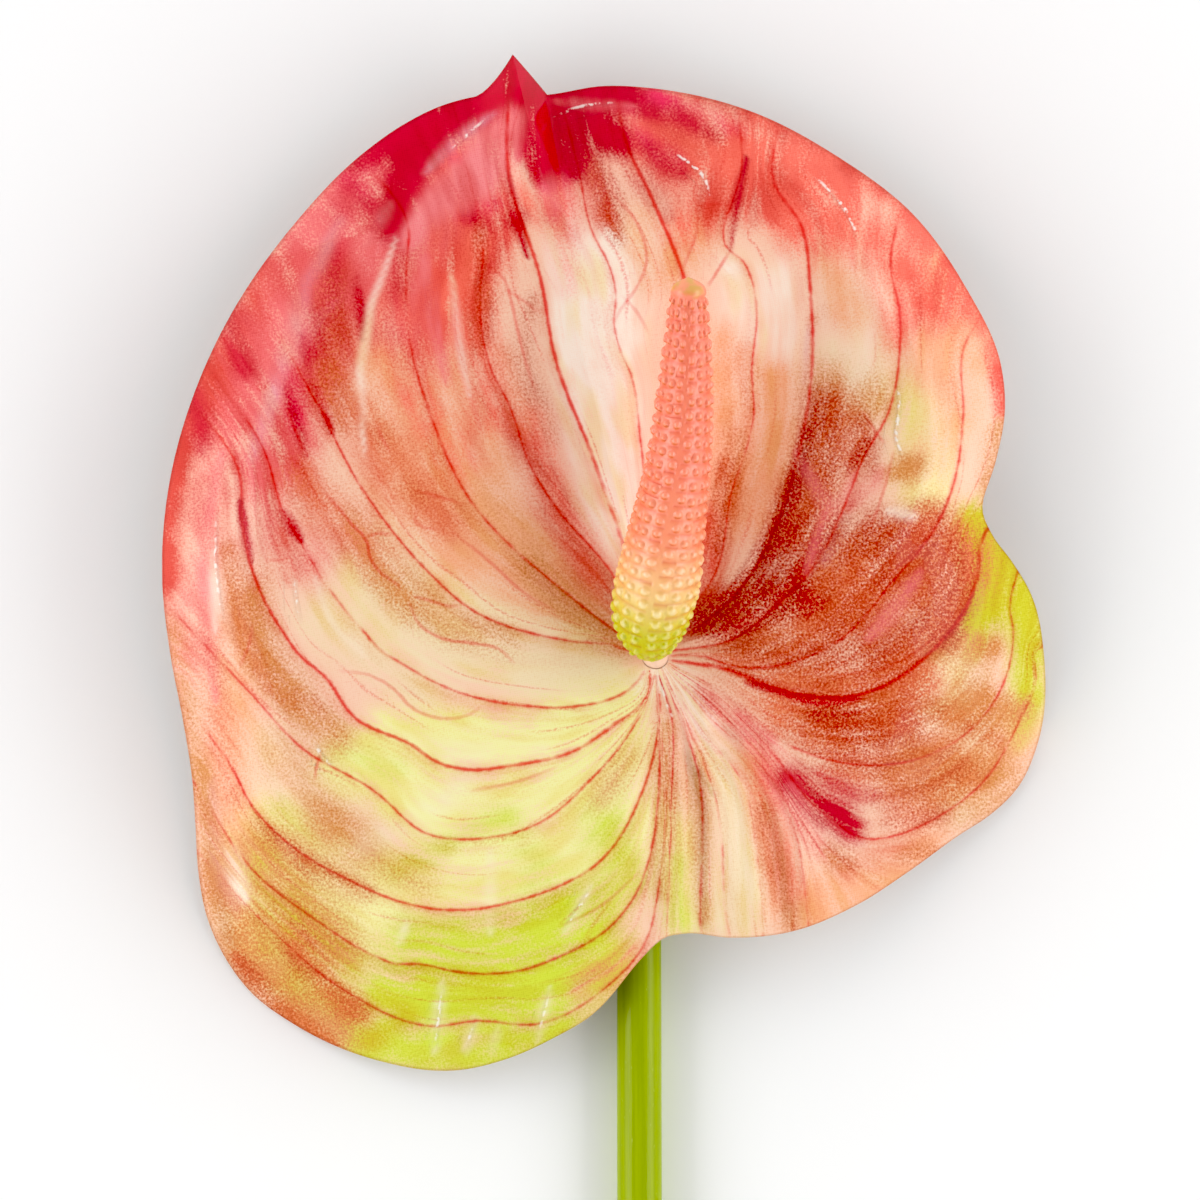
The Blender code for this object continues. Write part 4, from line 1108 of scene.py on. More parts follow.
def spadix_surface():
    """The points of the spadix, and at each point the values that its finish reads."""
    share, turn = np.meshgrid(
        np.linspace(0, 1, SPADIX_ROWS + 1),
        np.arange(SPADIX_SIDES) / SPADIX_SIDES * 360.0, indexing="ij")
    seam_turn = through_points(*zip(*SEAM_TURN), share)
    from_seam = np.mod(turn - seam_turn + 180, 360) - 180
    beside = np.abs(from_seam)
    beside = np.minimum(beside, 180 - beside)
    strip = fade(beside, SEAM_STRIP * 0.9, SEAM_STRIP * 2.0)
    across = np.clip(beside - SEAM_STRIP, 0, None) / (90 - SEAM_STRIP) * FLORET_COLUMNS / 4
    quarter = np.floor(np.mod(turn - seam_turn, 360) / 90)
    row = share * FLORET_ROWS + np.where(from_seam < 0, SEAM_SLIP, 0.0)
    a = 2 * (np.mod(across, 1) - 0.5)
    b = 2 * (np.mod(row, 1) - 0.5)
    wear = wear_of(row, across + 10 * quarter)
    drift = wear_of(row + 40, across + 10 * quarter)
    a = a + FLORET_DRIFT * drift
    b = b + FLORET_DRIFT * wear_of(row + 80, across + 10 * quarter)
    size = 1 + 0.14 * drift
    nub = np.clip(1 - (a / (0.72 * size)) ** 2 - ((b + 0.06) / (0.62 * size)) ** 2, 0, 1) ** 0.6
    nub = nub * (1 - strip) * (0.86 + 0.14 * wear)
    ridge = (1 - np.abs(b) ** 2.4) * (1 - strip) + 0.75 * strip
    lower, upper = FLORET_SPAN
    present = (1 - fade(share, lower - 0.02, lower + 0.01)) * fade(share, upper - 0.012, upper + 0.012)
    girth = through_points(*zip(*SPADIX_GIRTH), share)
    line = LINE_DEPTH * np.exp(-((from_seam / LINE_HALF_WIDTH) ** 2))
    raised = ROW_RIDGE * ridge + (FLORET_HEIGHT - ROW_RIDGE) * nub - line
    radius = girth - present * np.minimum(girth, FLORET_HEIGHT - raised)
    places, ways = spadix_line(share[:, 0])
    side = np.array([1.0, 0.0, 0.0])
    flat = side - ways * (ways @ side)[:, None]
    flat /= np.linalg.norm(flat, axis=1, keepdims=True)
    over = np.cross(ways, flat)
    spoke = (np.cos(np.radians(turn))[..., None] * flat[:, None]
             + np.sin(np.radians(turn))[..., None] * over[:, None])
    # painted shade: the orange patch that lies under each floret, below its bump
    under = np.exp(-((a / 0.55) ** 2) - ((b + 0.48) / 0.26) ** 2) * (1 - strip)
    return places[:, None] + spoke * radius[..., None], {
        "nub": nub * present,
        "under": under * present * (0.75 + 0.25 * wear),
        # painted shade for the grooves between floret rows
        "groove": present * (1 - ridge),
        "seam": np.exp(-((from_seam / SEAM_WIDTH) ** 2)) * present,
        "rise": places[:, 1][:, None] + share * 0,
    }


spadix_points, spadix_tags = spadix_surface()
spadix_mesh, _ = grid_mesh("spadix", spadix_points)
for key, values in spadix_tags.items():
    tag(spadix_mesh, key, values)
add_piece("spadix_spike", spadix_mesh, "spadix")

# %% [markdown]
# ## The stalk
# A stalk is a long round tube, and a bevelled curve would draw it in one line. We sweep the
# rings ourselves, because the finish needs to know for each point how far along the stalk it
# is, and because the cut end is a slanted face with its own colour.

# %% The stalk's line
STEM_RADIUS = 3.25
STEM_SIDES = 16
STEM_OFFSET = -2.3
STEM_LENGTH = 400.0
STEM_BASE_SWELL = 0.2
STEM_BOW = 5.0
NECK_LENGTH = 46.0
NECK_RUN = 24.0
NECK_RISE = 9.5
NECK_RADIUS = 2.9
NECK_SLIMS_BY = 0.45
RECEPTACLE_FROM = 0.72
RECEPTACLE_RADIUS = 3.6
PEG_STEP = 0.25
CUT_ANGLE = 32.0
CUT_MARGIN = 0.6
STEM_STATIONS = 90
NECK_STATIONS = 60
PEG_STATIONS = 12


def stem_stations():
    """The stalk's middle line as rows of x, y, z and radius, from the cut end to the peg."""
    rest = math.cos(math.pi / STEM_SIDES)
    t = 1 - np.arange(STEM_STATIONS) / STEM_STATIONS
    radius = STEM_RADIUS + STEM_BASE_SWELL * t
    straight = np.stack([
        STEM_OFFSET + STEM_BOW * t**2,
        -NECK_LENGTH - t * (STEM_LENGTH - NECK_LENGTH), radius * rest, radius], 1)
    up, top = seat_direction(), receptacle_top()
    start = np.array([STEM_OFFSET, -NECK_LENGTH, STEM_RADIUS * rest])
    leave = start + np.array([0.0, NECK_RUN, 0.0])
    arrive = top - up * NECK_RISE
    t = np.linspace(0, 1, NECK_STATIONS + 1)[:, None]
    line = (start * (1 - t) ** 3 + leave * 3 * t * (1 - t) ** 2
            + arrive * 3 * t**2 * (1 - t) + top * t**3)
    slimming = (STEM_RADIUS - NECK_RADIUS) * np.minimum(1, t / NECK_SLIMS_BY)
    flare = np.maximum(0, (t - RECEPTACLE_FROM) / (1 - RECEPTACLE_FROM)) ** 2
    neck = np.hstack([line, STEM_RADIUS - slimming + (RECEPTACLE_RADIUS - NECK_RADIUS) * flare])
    lengths = np.linspace(PEG_STEP, PEG_LENGTH, PEG_STATIONS)
    peg = np.array([[*(top + up * length), PEG_RADIUS] for length in lengths])
    return np.vstack([straight, neck, peg])


stations = stem_stations()
print("the stalk has", len(stations), "rings")

# %% [markdown]
# ## The stalk's mesh
# Each station becomes a ring that stands square to the line. The lowest rings are pushed onto a
# slanted plane, as a knife leaves it, and smaller rings close the cut. The underside is pressed
# flat at the table's height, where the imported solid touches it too.

# %% The stalk's mesh
STALK_SIDES = 48
PALE_STATIONS = 9
CUT_RINGS = 6


def stalk_surface(stations):
    """Rings round the stalk's line, a slanted face at the cut and a closed peg."""
    centres, radii = stations[:, :3], stations[:, 3]
    ways = np.gradient(centres, axis=0)
    ways /= np.linalg.norm(ways, axis=1, keepdims=True)
    side = np.array([1.0, 0.0, 0.0])
    across = side - ways * (ways @ side)[:, None]
    across /= np.linalg.norm(across, axis=1, keepdims=True)
    over = np.cross(across, ways)
    turn = np.arange(STALK_SIDES) / STALK_SIDES * 2 * math.pi
    spoke = np.cos(turn)[None, :, None] * across[:, None] + np.sin(turn)[None, :, None] * over[:, None]
    points = centres[:, None] + spoke * radii[:, None, None]
    lean = math.tan(math.radians(CUT_ANGLE))
    heel = centres[0, 1] + CUT_MARGIN + radii[0] * lean
    end = points[0].copy()
    end[:, 1] = heel + lean * (end[:, 2] - centres[0, 2])
    points[:4, :, 1] = np.maximum(points[:4, :, 1], end[:, 1] + 0.01 * np.arange(4)[:, None])
    middle = np.array([centres[0, 0], heel, centres[0, 2]])
    cut = [middle + (end - middle) * k / CUT_RINGS for k in range(CUT_RINGS)]
    cap = points[-1].mean(0) + (points[-1] - points[-1].mean(0)) * 0.02
    points = np.concatenate([np.stack(cut), points, cap[None]])
    points[..., 2] = np.maximum(points[..., 2], 0)
    core = np.concatenate([1 - np.arange(CUT_RINGS) / CUT_RINGS, np.zeros(len(stations) + 1)])
    pale = fade(np.arange(NECK_STATIONS + 1), NECK_STATIONS - PALE_STATIONS, NECK_STATIONS)
    peg = np.concatenate([np.zeros(CUT_RINGS + STEM_STATIONS), 1 - pale, np.ones(PEG_STATIONS + 1)])
    return points, {"core": core, "peg": peg}


def lengthwise_places(points):
    """Places that run round the stalk and along it, however it bends, in millimetres."""
    middles = points.mean(1)
    run = np.concatenate([[0], np.cumsum(np.linalg.norm(np.diff(middles, axis=0), axis=1))])
    turn = np.arange(STALK_SIDES) / STALK_SIDES * 2 * math.pi
    girth = np.linalg.norm(points - middles[:, None], axis=-1)
    run = run[:, None] + turn * 0
    return np.stack([np.cos(turn) * girth, np.sin(turn) * girth, run], -1)


stalk_points, stalk_tags = stalk_surface(stations)
stalk_mesh, _ = grid_mesh("stalk", stalk_points[:, ::-1])
for key, values in stalk_tags.items():
    tag(stalk_mesh, key, np.repeat(values, STALK_SIDES))
tag(stalk_mesh, "way", lengthwise_places(stalk_points)[:, ::-1], kind="FLOAT_VECTOR")
add_piece("stalk_stem", stalk_mesh, "peduncle")

# %% [markdown]
# ## Shader maths in plain Python
# A finish is a sum of masks and mixes, and drawing that as dozens of boxes by hand is hard to
# read back. A small class wraps a node's output, so that an expression such as 1 - mask lays
# the Math nodes by itself. One method lays every kind of node: it takes the node's type, its
# settings, and the values or links of its sockets.

# %% Laying nodes from expressions


class Shade:
    """A value, colour or vector on its way through a finish."""

    def __init__(self, finish, socket):
        self.finish = finish
        self.socket = socket

    def maths(self, operation, *inputs):
        return self.finish.node("ShaderNodeMath", {"operation": operation}, dict(enumerate(inputs)))

    def __add__(self, other):
        return self.maths("ADD", self, other)

    __radd__ = __add__

    def __sub__(self, other):
        return self.maths("SUBTRACT", self, other)

    def __rsub__(self, other):
        return self.maths("SUBTRACT", other, self)

    def __mul__(self, other):
        return self.maths("MULTIPLY", self, other)

    __rmul__ = __mul__

    def __pow__(self, other):
        return self.maths("POWER", self, other)

    def __abs__(self):
        return self.maths("ABSOLUTE", self)

    def __round__(self):
        return self.maths("ROUND", self)

    def smaller(self, other):
        return self.maths("MINIMUM", self, other)


class Finish:
    """A material in the making, and the one method that lays any node in it."""

    def __init__(self, name, owner=None):
        self.owner = owner or bpy.data.materials.new(name)
        self.owner.use_nodes = True
        self.tree = self.owner.node_tree
        self.tree.nodes.clear()

    def node(self, kind, settings=None, sockets=None, out=0):
        made = self.tree.nodes.new(kind)
        for name, value in (settings or {}).items():
            if name == "stops":
                self.set_stops(made.color_ramp, value)
            else:
                setattr(made, name, value)
        for name, value in (sockets or {}).items():
            if isinstance(value, Shade):
                self.tree.links.new(value.socket, made.inputs[name])
            else:
                made.inputs[name].default_value = value
        return Shade(self, made.outputs[out]) if made.outputs else None

    def set_stops(self, ramp, stops):
        while len(ramp.elements) < len(stops):
            ramp.elements.new(1.0)
        for element, (place, colour) in zip(ramp.elements, stops):
            element.position = place
            element.color = colour


print("a finish is laid by one method:", Finish.node.__name__)

# %% [markdown]
# ## Short names for the nodes that come back
# The same few nodes return in every finish: a value read from the mesh, two colours mixed, a
# soft step, a place stretched or moved along, and noise. Each gets one short function. Colours
# are given as a screen shows them, because that is how an eye picks them, and are turned into
# the linear light that shaders add up in.

# %% Tools for finishes


def reading(finish, name, out="Fac"):
    """A value that was written on the mesh; out is Vector for a vector."""
    return finish.node("ShaderNodeAttribute", {"attribute_name": name}, out=out)


def readings(finish, name):
    """The three values that were written on the mesh as the parts of one vector."""
    vector = reading(finish, name, "Vector")
    return [finish.node("ShaderNodeSeparateXYZ", {}, {0: vector}, out=axis) for axis in "XYZ"]


def mixed(mask, under, over, blend="MIX"):
    """One colour laid over another where the mask is 1."""
    settings = {"data_type": "RGBA", "blend_type": blend}
    return mask.finish.node("ShaderNodeMix", settings, {0: mask, 6: under, 7: over}, out=2)


def step_up(value, low, high):
    """A soft step: 0 below low, 1 above high."""
    return value.finish.node(
        "ShaderNodeMapRange", {"interpolation_type": "SMOOTHSTEP"},
        {"Value": value, "From Min": low, "From Max": high})


def scaled(vector, factors):
    """A vector stretched along each axis."""
    return vector.finish.node(
        "ShaderNodeVectorMath", {"operation": "MULTIPLY"}, {0: vector, 1: factors})


def shifted(vector, by):
    """The same vector moved along, so that its noise comes out different."""
    return vector.finish.node("ShaderNodeVectorMath", {"operation": "ADD"}, {0: vector, 1: (by, by, by)})


def cloud(vector, size, detail=3.0):
    """Soft noise from 0 to 1, its blobs about the given size in the vector's own units."""
    return vector.finish.node(
        "ShaderNodeTexNoise", {},
        {"Vector": vector, "Scale": 1.0 / size, "Detail": detail, "Roughness": NOISE_ROUGHNESS})


def surface(finish, sockets):
    """The shader that ends a finish, linked to the material's output."""
    shader = finish.node("ShaderNodeBsdfPrincipled", {}, sockets)
    finish.node("ShaderNodeOutputMaterial", {}, {"Surface": shader})
    return finish.owner


def paint(red, green, blue):
    """A colour as mixed on a screen, 0 to 255, turned into the linear one that shaders use."""
    screen = [channel / 255 for channel in (red, green, blue)]
    linear = [c / 12.92 if c <= 0.04045 else ((c + 0.055) / 1.055) ** 2.4 for c in screen]
    return (*linear, 1.0)


NOISE_ROUGHNESS = 0.55
print("mid grey on a screen is", round(paint(128, 128, 128)[0], 3), "of the light")

# %% [markdown]
# ## The stalk's skin
# The stalk is waxy and nearly one green, with long fibres under the skin and tiny pale pores.
# A photograph wrapped round it would need a seam. Noise needs none: the mesh carries places
# that run round and along the stalk however it bends, and stretching them draws the noise out
# into fibres.

# %% Green skin
FIBRE_SIZE, FIBRE_STRETCH = 0.5, (1, 1, 0.02)
MOTTLE_SIZE, MOTTLE_STRETCH = 3.0, (1, 1, 0.12)
PORE_SIZE, PORE_STRETCH = 0.45, (1, 1, 0.4)
stalk_finish = Finish("stalk_skin")
lengthwise = reading(stalk_finish, "way", "Vector")
fibre = cloud(scaled(lengthwise, FIBRE_STRETCH), FIBRE_SIZE, 2.0)
mottle = cloud(scaled(lengthwise, MOTTLE_STRETCH), MOTTLE_SIZE, 2.0)
pores = cloud(scaled(lengthwise, PORE_STRETCH), PORE_SIZE, 1.0)
green = mixed(step_up(fibre, 0.2, 0.9), paint(150, 169, 0), paint(166, 184, 8))
green = mixed(step_up(mottle, 0.4, 0.8) * 0.3, green, paint(138, 158, 0))
green = mixed(step_up(pores, 0.68, 0.78) * 0.25, green, paint(190, 206, 90))
PEG_PINK = paint(246, 214, 190)
green = mixed(reading(stalk_finish, "peg"), green, PEG_PINK)
print("fibres about", FIBRE_SIZE, "mm wide and", round(FIBRE_SIZE / FIBRE_STRETCH[2]), "mm long")

# %% [markdown]
# ## The cut end
# Cut across, a stalk shows pale pith inside a green rind, with vessels scattered through it.
# Modelling each vessel would be lost at this size. Voronoi cells have one point each, and the
# distance to it makes round dots that never overlap, which is how the vessels lie.

# %% Pith and vessels
BUNDLES_PER_MM = 1.5
core = reading(stalk_finish, "core")
cut_face = step_up(core, 0.001, 0.002)
pith = mixed(step_up(core, 0.1, 0.3), paint(150, 178, 60), paint(222, 226, 176))
bundles = stalk_finish.node(
    "ShaderNodeTexVoronoi", {},
    {"Vector": lengthwise, "Scale": BUNDLES_PER_MM, "Randomness": 0.8}, out="Distance")
dots = (1 - step_up(bundles, 0.14, 0.26)) * step_up(core, 0.12, 0.2)
pith = mixed(dots * 0.6, pith, paint(150, 158, 84))
browned = cloud(lengthwise, 1.6, 3.0)
pith = mixed(step_up(browned, 0.5, 0.7) * 0.35, pith, paint(190, 160, 96))
green = mixed(cut_face, green, pith)
stalk_bump = stalk_finish.node(
    "ShaderNodeBump", {},
    {"Distance": MM, "Height": fibre * 0.05 + pores * 0.02 - dots * cut_face * 0.15})
stalk_mesh.materials.append(surface(stalk_finish, {
    "Base Color": green, "Roughness": 0.26 + fibre * 0.1 + cut_face * 0.3,
    "Specular IOR Level": 0.22, "Normal": stalk_bump}))
print("the stalk's finish has", len(stalk_finish.tree.nodes), "nodes")

# %% [markdown]
# ## The spadix's finish
# The spadix is lime at its foot, turns cream and then salmon, and ends in a small olive cap. A
# ramp along its rise gives that base. The relief then guides the rest: the lower florets are paler,
# the tops of the upper ones get a painted highlight, an orange painted shade lies under each
# of them, and painted shade darkens the grooves between the rows.

# %% Colours along the spadix
SPADIX_RISE = 55.0
SPADIX_COLOURS = (
    (0.0, (196, 200, 12)), (0.118, (204, 200, 20)), (0.145, (222, 204, 66)),
    (0.185, (240, 206, 120)), (0.25, (252, 192, 132)), (0.33, (255, 160, 120)),
    (0.5, (255, 145, 116)), (0.9, (252, 140, 112)), (0.97, (250, 142, 112)), (1.0, (245, 162, 112)),
)
spadix_finish = Finish("spadix_skin")
rise = reading(spadix_finish, "rise")
flesh = spadix_finish.node(
    "ShaderNodeValToRGB", {"stops": [(place, paint(*colour)) for place, colour in SPADIX_COLOURS]},
    {"Fac": rise * (1 / SPADIX_RISE)}, out="Color")
print(len(SPADIX_COLOURS), "colours along", SPADIX_RISE, "mm")

# %% Paler florets, painted highlights on top, painted shade under them
FLORET_PALE, FLORET_PALE_AT_FOOT = 0.42, 0.2
BLUSH_SIZE = 0.004
SHADE_SIZE = 0.0016
object_place = spadix_finish.node("ShaderNodeTexCoord", {}, out="Object")
floret = reading(spadix_finish, "nub")
low_part = 1 - step_up(rise, 13.0, 21.0)
high_part = 1 - low_part
lime_foot = 1 - step_up(rise, 4.5, 8.5)
pale = step_up(floret, 0.3, 1.0) * low_part * (FLORET_PALE - lime_foot * FLORET_PALE_AT_FOOT)
flesh = mixed(pale, flesh, paint(250, 236, 200))
# painted shade: orange darkening under each upper floret, mixed into the colour
shade = reading(spadix_finish, "under") * high_part * (0.5 + cloud(object_place, SHADE_SIZE, 2.0))
flesh = mixed(step_up(shade, 0.05, 0.6) * 0.8, flesh, paint(222, 112, 40))
# painted highlight: the tops of the upper florets are made lighter
flesh = mixed(step_up(floret, 0.5, 1.0) * high_part * 0.4, flesh, paint(255, 168, 134))
# painted shade: the grooves between floret rows are darkened
flesh = mixed(reading(spadix_finish, "groove") * 0.35, flesh, paint(225, 130, 90), "MULTIPLY")
flesh = mixed(reading(spadix_finish, "seam") * 0.45, flesh, paint(255, 200, 160))
blush_spots = cloud(object_place, BLUSH_SIZE)
flesh = mixed(step_up(blush_spots, 0.5, 0.75) * high_part * 0.35, flesh, paint(255, 128, 92))
cap = step_up(rise, 50.5, 54.0) * step_up(blush_spots, 0.45, 0.6)
flesh = mixed(cap * 0.6, flesh, paint(206, 176, 60))
spadix_mesh.materials.append(surface(spadix_finish, {
    "Base Color": flesh, "Roughness": 0.34, "Coat Weight": 0.25, "Coat Roughness": 0.12}))
print("the spadix's finish has", len(spadix_finish.tree.nodes), "nodes")

# %% [markdown]
# ## The bract's paint
# Each wash on the mesh is smooth, but print and sap are not. Before it's laid, each wash is
# broken up by noise: long streaks that follow the vein field, blotches, and a fine stipple as of
# a woven cloth under the print. Three mixes of them take turns, so that edges don't coincide.
# A fourth, with more stipple, is for the rusty pigments, which lie in dots.

# %% Streaks, blotches and stipple
STREAK_SIZE, STREAK_STRETCH = 1.5, (1, 1, 0.13)
BLOTCH_SIZE = 5.0
STIPPLE_SIZE = 0.36
SOFT_SHARES, SOFT_BREAK_UP = (0.44, 0.28, 0.28), 3.4
DOTTED_SHARES, DOTTED_BREAK_UP = (0.3, 0.22, 0.48), 4.6
spathe_finish = Finish("spathe_skin")
plan_place = reading(spathe_finish, "plan", "Vector")
vein_place = reading(spathe_finish, "vein_way", "Vector")
streak_place = scaled(vein_place, STREAK_STRETCH)
stipple = cloud(plan_place, STIPPLE_SIZE, 1.0)


def broken_up(streak, blotch, shares, strength):
    """What a wash is multiplied by, so that its edges break up; it's 1 on average."""
    rough = streak * shares[0] + blotch * shares[1] + stipple * shares[2]
    return 1 + (rough - 0.5) * strength


soft_breaks = []
for seed in range(3):
    streak = cloud(shifted(streak_place, 17.0 * seed), STREAK_SIZE, 2.0)
    blotch = cloud(shifted(plan_place, 31.0 * seed), BLOTCH_SIZE, 1.0)
    soft_breaks.append(broken_up(streak, blotch, SOFT_SHARES, SOFT_BREAK_UP))
dotted_break = broken_up(streak, blotch, DOTTED_SHARES, DOTTED_BREAK_UP)
print(len(soft_breaks), "soft breaks and a dotted one")

# %% [markdown]
# ## Laying the washes
# Watercolour pools: the same pigment is deeper where it dried last. So each wash has two colours,
# the plain one and a deeper one, and a slow noise along the veins picks between them. Multiplying
# all channels alike would turn reds grey and yellows brown, so each family has its own factors.

# %% Washes, one over another
BLUSH = paint(247, 205, 180)
DEEPER_REDS = (0.95, 0.80, 0.80)
DEEPER_YELLOWS = (0.98, 0.95, 0.84)
YELLOW_FROM = 150
POOL_SIZE, POOL_STRETCH = 3.2, (1, 1, 0.3)
WASH_SHOWS_FROM, WASH_FULL_AT = 0.03, 0.95
DOTTED_PIGMENTS = ("tan", "ochre", "brick", "wine", "terracotta")
HARD_PIGMENTS = {"crimson": 0.7, "mustard": 0.8}


def deeper(colour):
    """The same pigment laid on more thickly."""
    factors = DEEPER_YELLOWS if colour[1] > YELLOW_FROM else DEEPER_REDS
    return [channel * factor for channel, factor in zip(colour, factors)]


pools = []
for seed in range(2):
    pool = cloud(scaled(shifted(vein_place, 71.0 + 9 * seed), POOL_STRETCH), POOL_SIZE, 1.0)
    pools.append(step_up(pool, 0.42, 0.68))
washed = []
for first in range(0, len(WASHES), 3):
    washed += readings(spathe_finish, f"washes_{first // 3}")
skin = BLUSH
for place, (name, colour, _) in enumerate(WASHES):
    broken = dotted_break if name in DOTTED_PIGMENTS else soft_breaks[place % 3]
    amount = washed[place] * broken
    pigment = mixed(pools[place % 2], paint(*colour), paint(*deeper(colour)))
    full = HARD_PIGMENTS.get(name, WASH_FULL_AT)
    skin = mixed(step_up(amount, WASH_SHOWS_FROM, full), skin, pigment)
print(len(WASHES), "washes laid over", [round(channel, 2) for channel in BLUSH[:3]])

# %% [markdown]
# ## Flecks in the rusty parts
# Where the rusty pigments lie thick, the cloth under them shows as pale grains, and the pigment
# gathers in darker ones between. Both come from one noise: its peaks are the pale grains and its
# pits the dark ones. They are kept to the rusty washes, and the pale ones to dark colours.

# %% Flecks
FLECK_SIZE = 0.34
rusty = 0
for place, (name, _, _) in enumerate(WASHES):
    if name in DOTTED_PIGMENTS:
        rusty = rusty + washed[place]
rusty = rusty.smaller(1)
greenness = spathe_finish.node("ShaderNodeSeparateColor", {}, {0: skin}, out="Green")
depth = 1 - step_up(greenness, 0.05, 0.55)
flecks = cloud(shifted(plan_place, 5.0), FLECK_SIZE, 1.0)
pale_flecks = step_up(flecks, 0.5, 0.66) * rusty * depth
skin = mixed(pale_flecks * 0.45, skin, paint(242, 164, 112))
dark_flecks = (1 - step_up(flecks, 0.34, 0.5)) * rusty
skin = mixed(dark_flecks * 0.25, skin, paint(230, 130, 104), "MULTIPLY")
print("flecks of", FLECK_SIZE, "mm")

# %% [markdown]
# ## Inking the veins
# A vein is where the vein turns reach a whole number. Turns times the gap give millimetres, so
# each line keeps its own width however the veins spread. Noise makes the line waver and fade as
# if drawn with a dry pen, and a wide faint halo lets it sink into the wash.

# %% Vein lines
WAVER_SIZE, WAVER = 1.0, 0.45
DRY_SIZE, DRY_STRETCH = 1.6, (0.4, 0.4, 0.5)
HALO_WIDTH = 1.6
turns = reading(spathe_finish, "vein_turn")
vein_gap, vein_ink, vein_half_width = readings(spathe_finish, "vein_line")
off_line = abs(turns - round(turns)) * vein_gap
waver = cloud(plan_place, WAVER_SIZE, 2.0) - 0.5
dry = cloud(scaled(vein_place, DRY_STRETCH), DRY_SIZE, 1.0)
pen = off_line - vein_half_width + waver * WAVER
line = (1 - step_up(pen, -0.34, 0.12)) * step_up(dry + vein_ink * 0.5, 0.45, 0.95)
halo = (1 - step_up(off_line, 0.0, HALO_WIDTH)) * vein_ink * step_up(dry, 0.3, 0.7)
print("each line's edge wavers by up to", WAVER / 2, "mm")

# %% [markdown]
# ## Hair veins and twigs
# Between two main veins the real bract has hair-fine ones, here and there. Three times the turns
# reach a whole number at three times as many lines, which gives them their places, and a slow
# noise lets them wander and come and go. The twigs were written on the mesh as distances, so they
# are drawn as the main veins are.

# %% Hair veins and twigs
HAIRS_PER_TURN = 3
WANDER_SIZE, WANDER_STRETCH, WANDER = 7.0, (0.5, 0.5, 0.2), 4
HAIR_PLACES_STRETCH = (1, 1, 0.4)
wander = cloud(scaled(vein_place, WANDER_STRETCH), WANDER_SIZE, 1.0) - 0.5
hair_turns = turns * HAIRS_PER_TURN + wander * WANDER
hair_off = abs(hair_turns - round(hair_turns)) * vein_gap * (1 / HAIRS_PER_TURN)
hair_places = cloud(shifted(scaled(vein_place, HAIR_PLACES_STRETCH), 53.0), WANDER_SIZE, 1.0)
hair = (1 - step_up(hair_off + waver * 0.3, 0.0, 0.3)) * step_up(hair_places, 0.5, 0.66)
hair = hair * step_up(stipple, 0.3, 0.6)
twig = 0
for number in range(TWIG_SETS):
    twig_off, twig_ink, _ = readings(spathe_finish, f"twigs_{number}")
    drawn = 1 - step_up(abs(twig_off) + waver * 0.35, 0.05, 0.42)
    twig = twig + drawn * twig_ink
print(TWIG_SETS, "sets of twigs drawn")

# %% [markdown]
# ## Soaking the ink in
# Ink soaks into paper and darkens what is there, it doesn't cover it. So every line is multiplied
# onto the colour below, not mixed over it. Beside each main vein a warm painted shade darkens
# one side, fading across towards the next vein, so the strip between two veins looks swollen.

# %% Ink
INK = (0.87, 0.05, 0.06, 1.0)
# the halo's ink, also used for the painted shade beside each vein
HALO_AND_SHADE_INK = (0.88, 0.40, 0.30, 1.0)
past_vein = turns.maths("FRACT", turns)
# painted shade: one side of each main vein is darkened, fading across towards the next vein
painted_vein_shade = (1 - past_vein) ** 2 * step_up(soft_breaks[1], 0.7, 1.5)
for mask, ink in (
        (painted_vein_shade * 0.4, HALO_AND_SHADE_INK), (halo * 0.38, HALO_AND_SHADE_INK), (hair * 0.4, INK),
        (twig.smaller(1) * 0.8, INK), (line * 0.85, INK)):
    skin = mixed(mask, skin, ink, "MULTIPLY")
print("ink lets through", INK[:3], "of the light")

# %% [markdown]
# ## Cloth grain
# Close up the print shows a woven grain: tiny dots in two crossing rows. Two sine waves crossed
# at right angles give it, roughened by the stipple. It's stronger where the print is darker, so
# the colour is multiplied by itself there.

# %% Grain
WEAVE_PITCH = 0.46
WEAVE_SLANT = 0.6
GRAIN = 0.34
slanted = spathe_finish.node(
    "ShaderNodeVectorRotate", {"rotation_type": "Z_AXIS"}, {"Vector": plan_place, "Angle": WEAVE_SLANT})
waves = []
for axis in "XY":
    across = spathe_finish.node("ShaderNodeSeparateXYZ", {}, {0: slanted}, out=axis)
    waves.append(across.maths("SINE", across * (2 * math.pi / WEAVE_PITCH)))
weave = waves[0] * waves[1] * 0.5 + (stipple - 0.5) * 2
skin = mixed(step_up(weave, -0.2, 0.9) * GRAIN, skin, skin, "MULTIPLY")
print("about", round(1 / WEAVE_PITCH, 1), "threads a millimetre")

# %% [markdown]
# ## The edge, the back and the painted glints
# The cut margin shows a darker rim, and the underside has the same print, paler. Along a few
# sharp creases white glints are painted into the colour, a painted highlight. They were written on
# the mesh as distances, like the twigs, and the same mask also feeds the bump, so that the light
# catches where the white lies.

# %% Edge, back, painted glints and coat
WRINKLE_WIDTH = 0.34
WRINKLE_HEIGHT = 0.3
GLINT_WHITE = 0.75
wrinkle_off, wrinkle_ink, share_out = readings(spathe_finish, "wrinkles")
rim = step_up(share_out, 0.992, 0.999)
skin = mixed(rim * 0.4, skin, paint(190, 130, 90), "MULTIPLY")
skin = mixed(reading(spathe_finish, "back") * 0.55, skin, paint(236, 214, 186))
widths_off = wrinkle_off * (1 / WRINKLE_WIDTH)
fall = -1 * widths_off * widths_off
creased = fall.maths("EXPONENT", fall) * wrinkle_ink
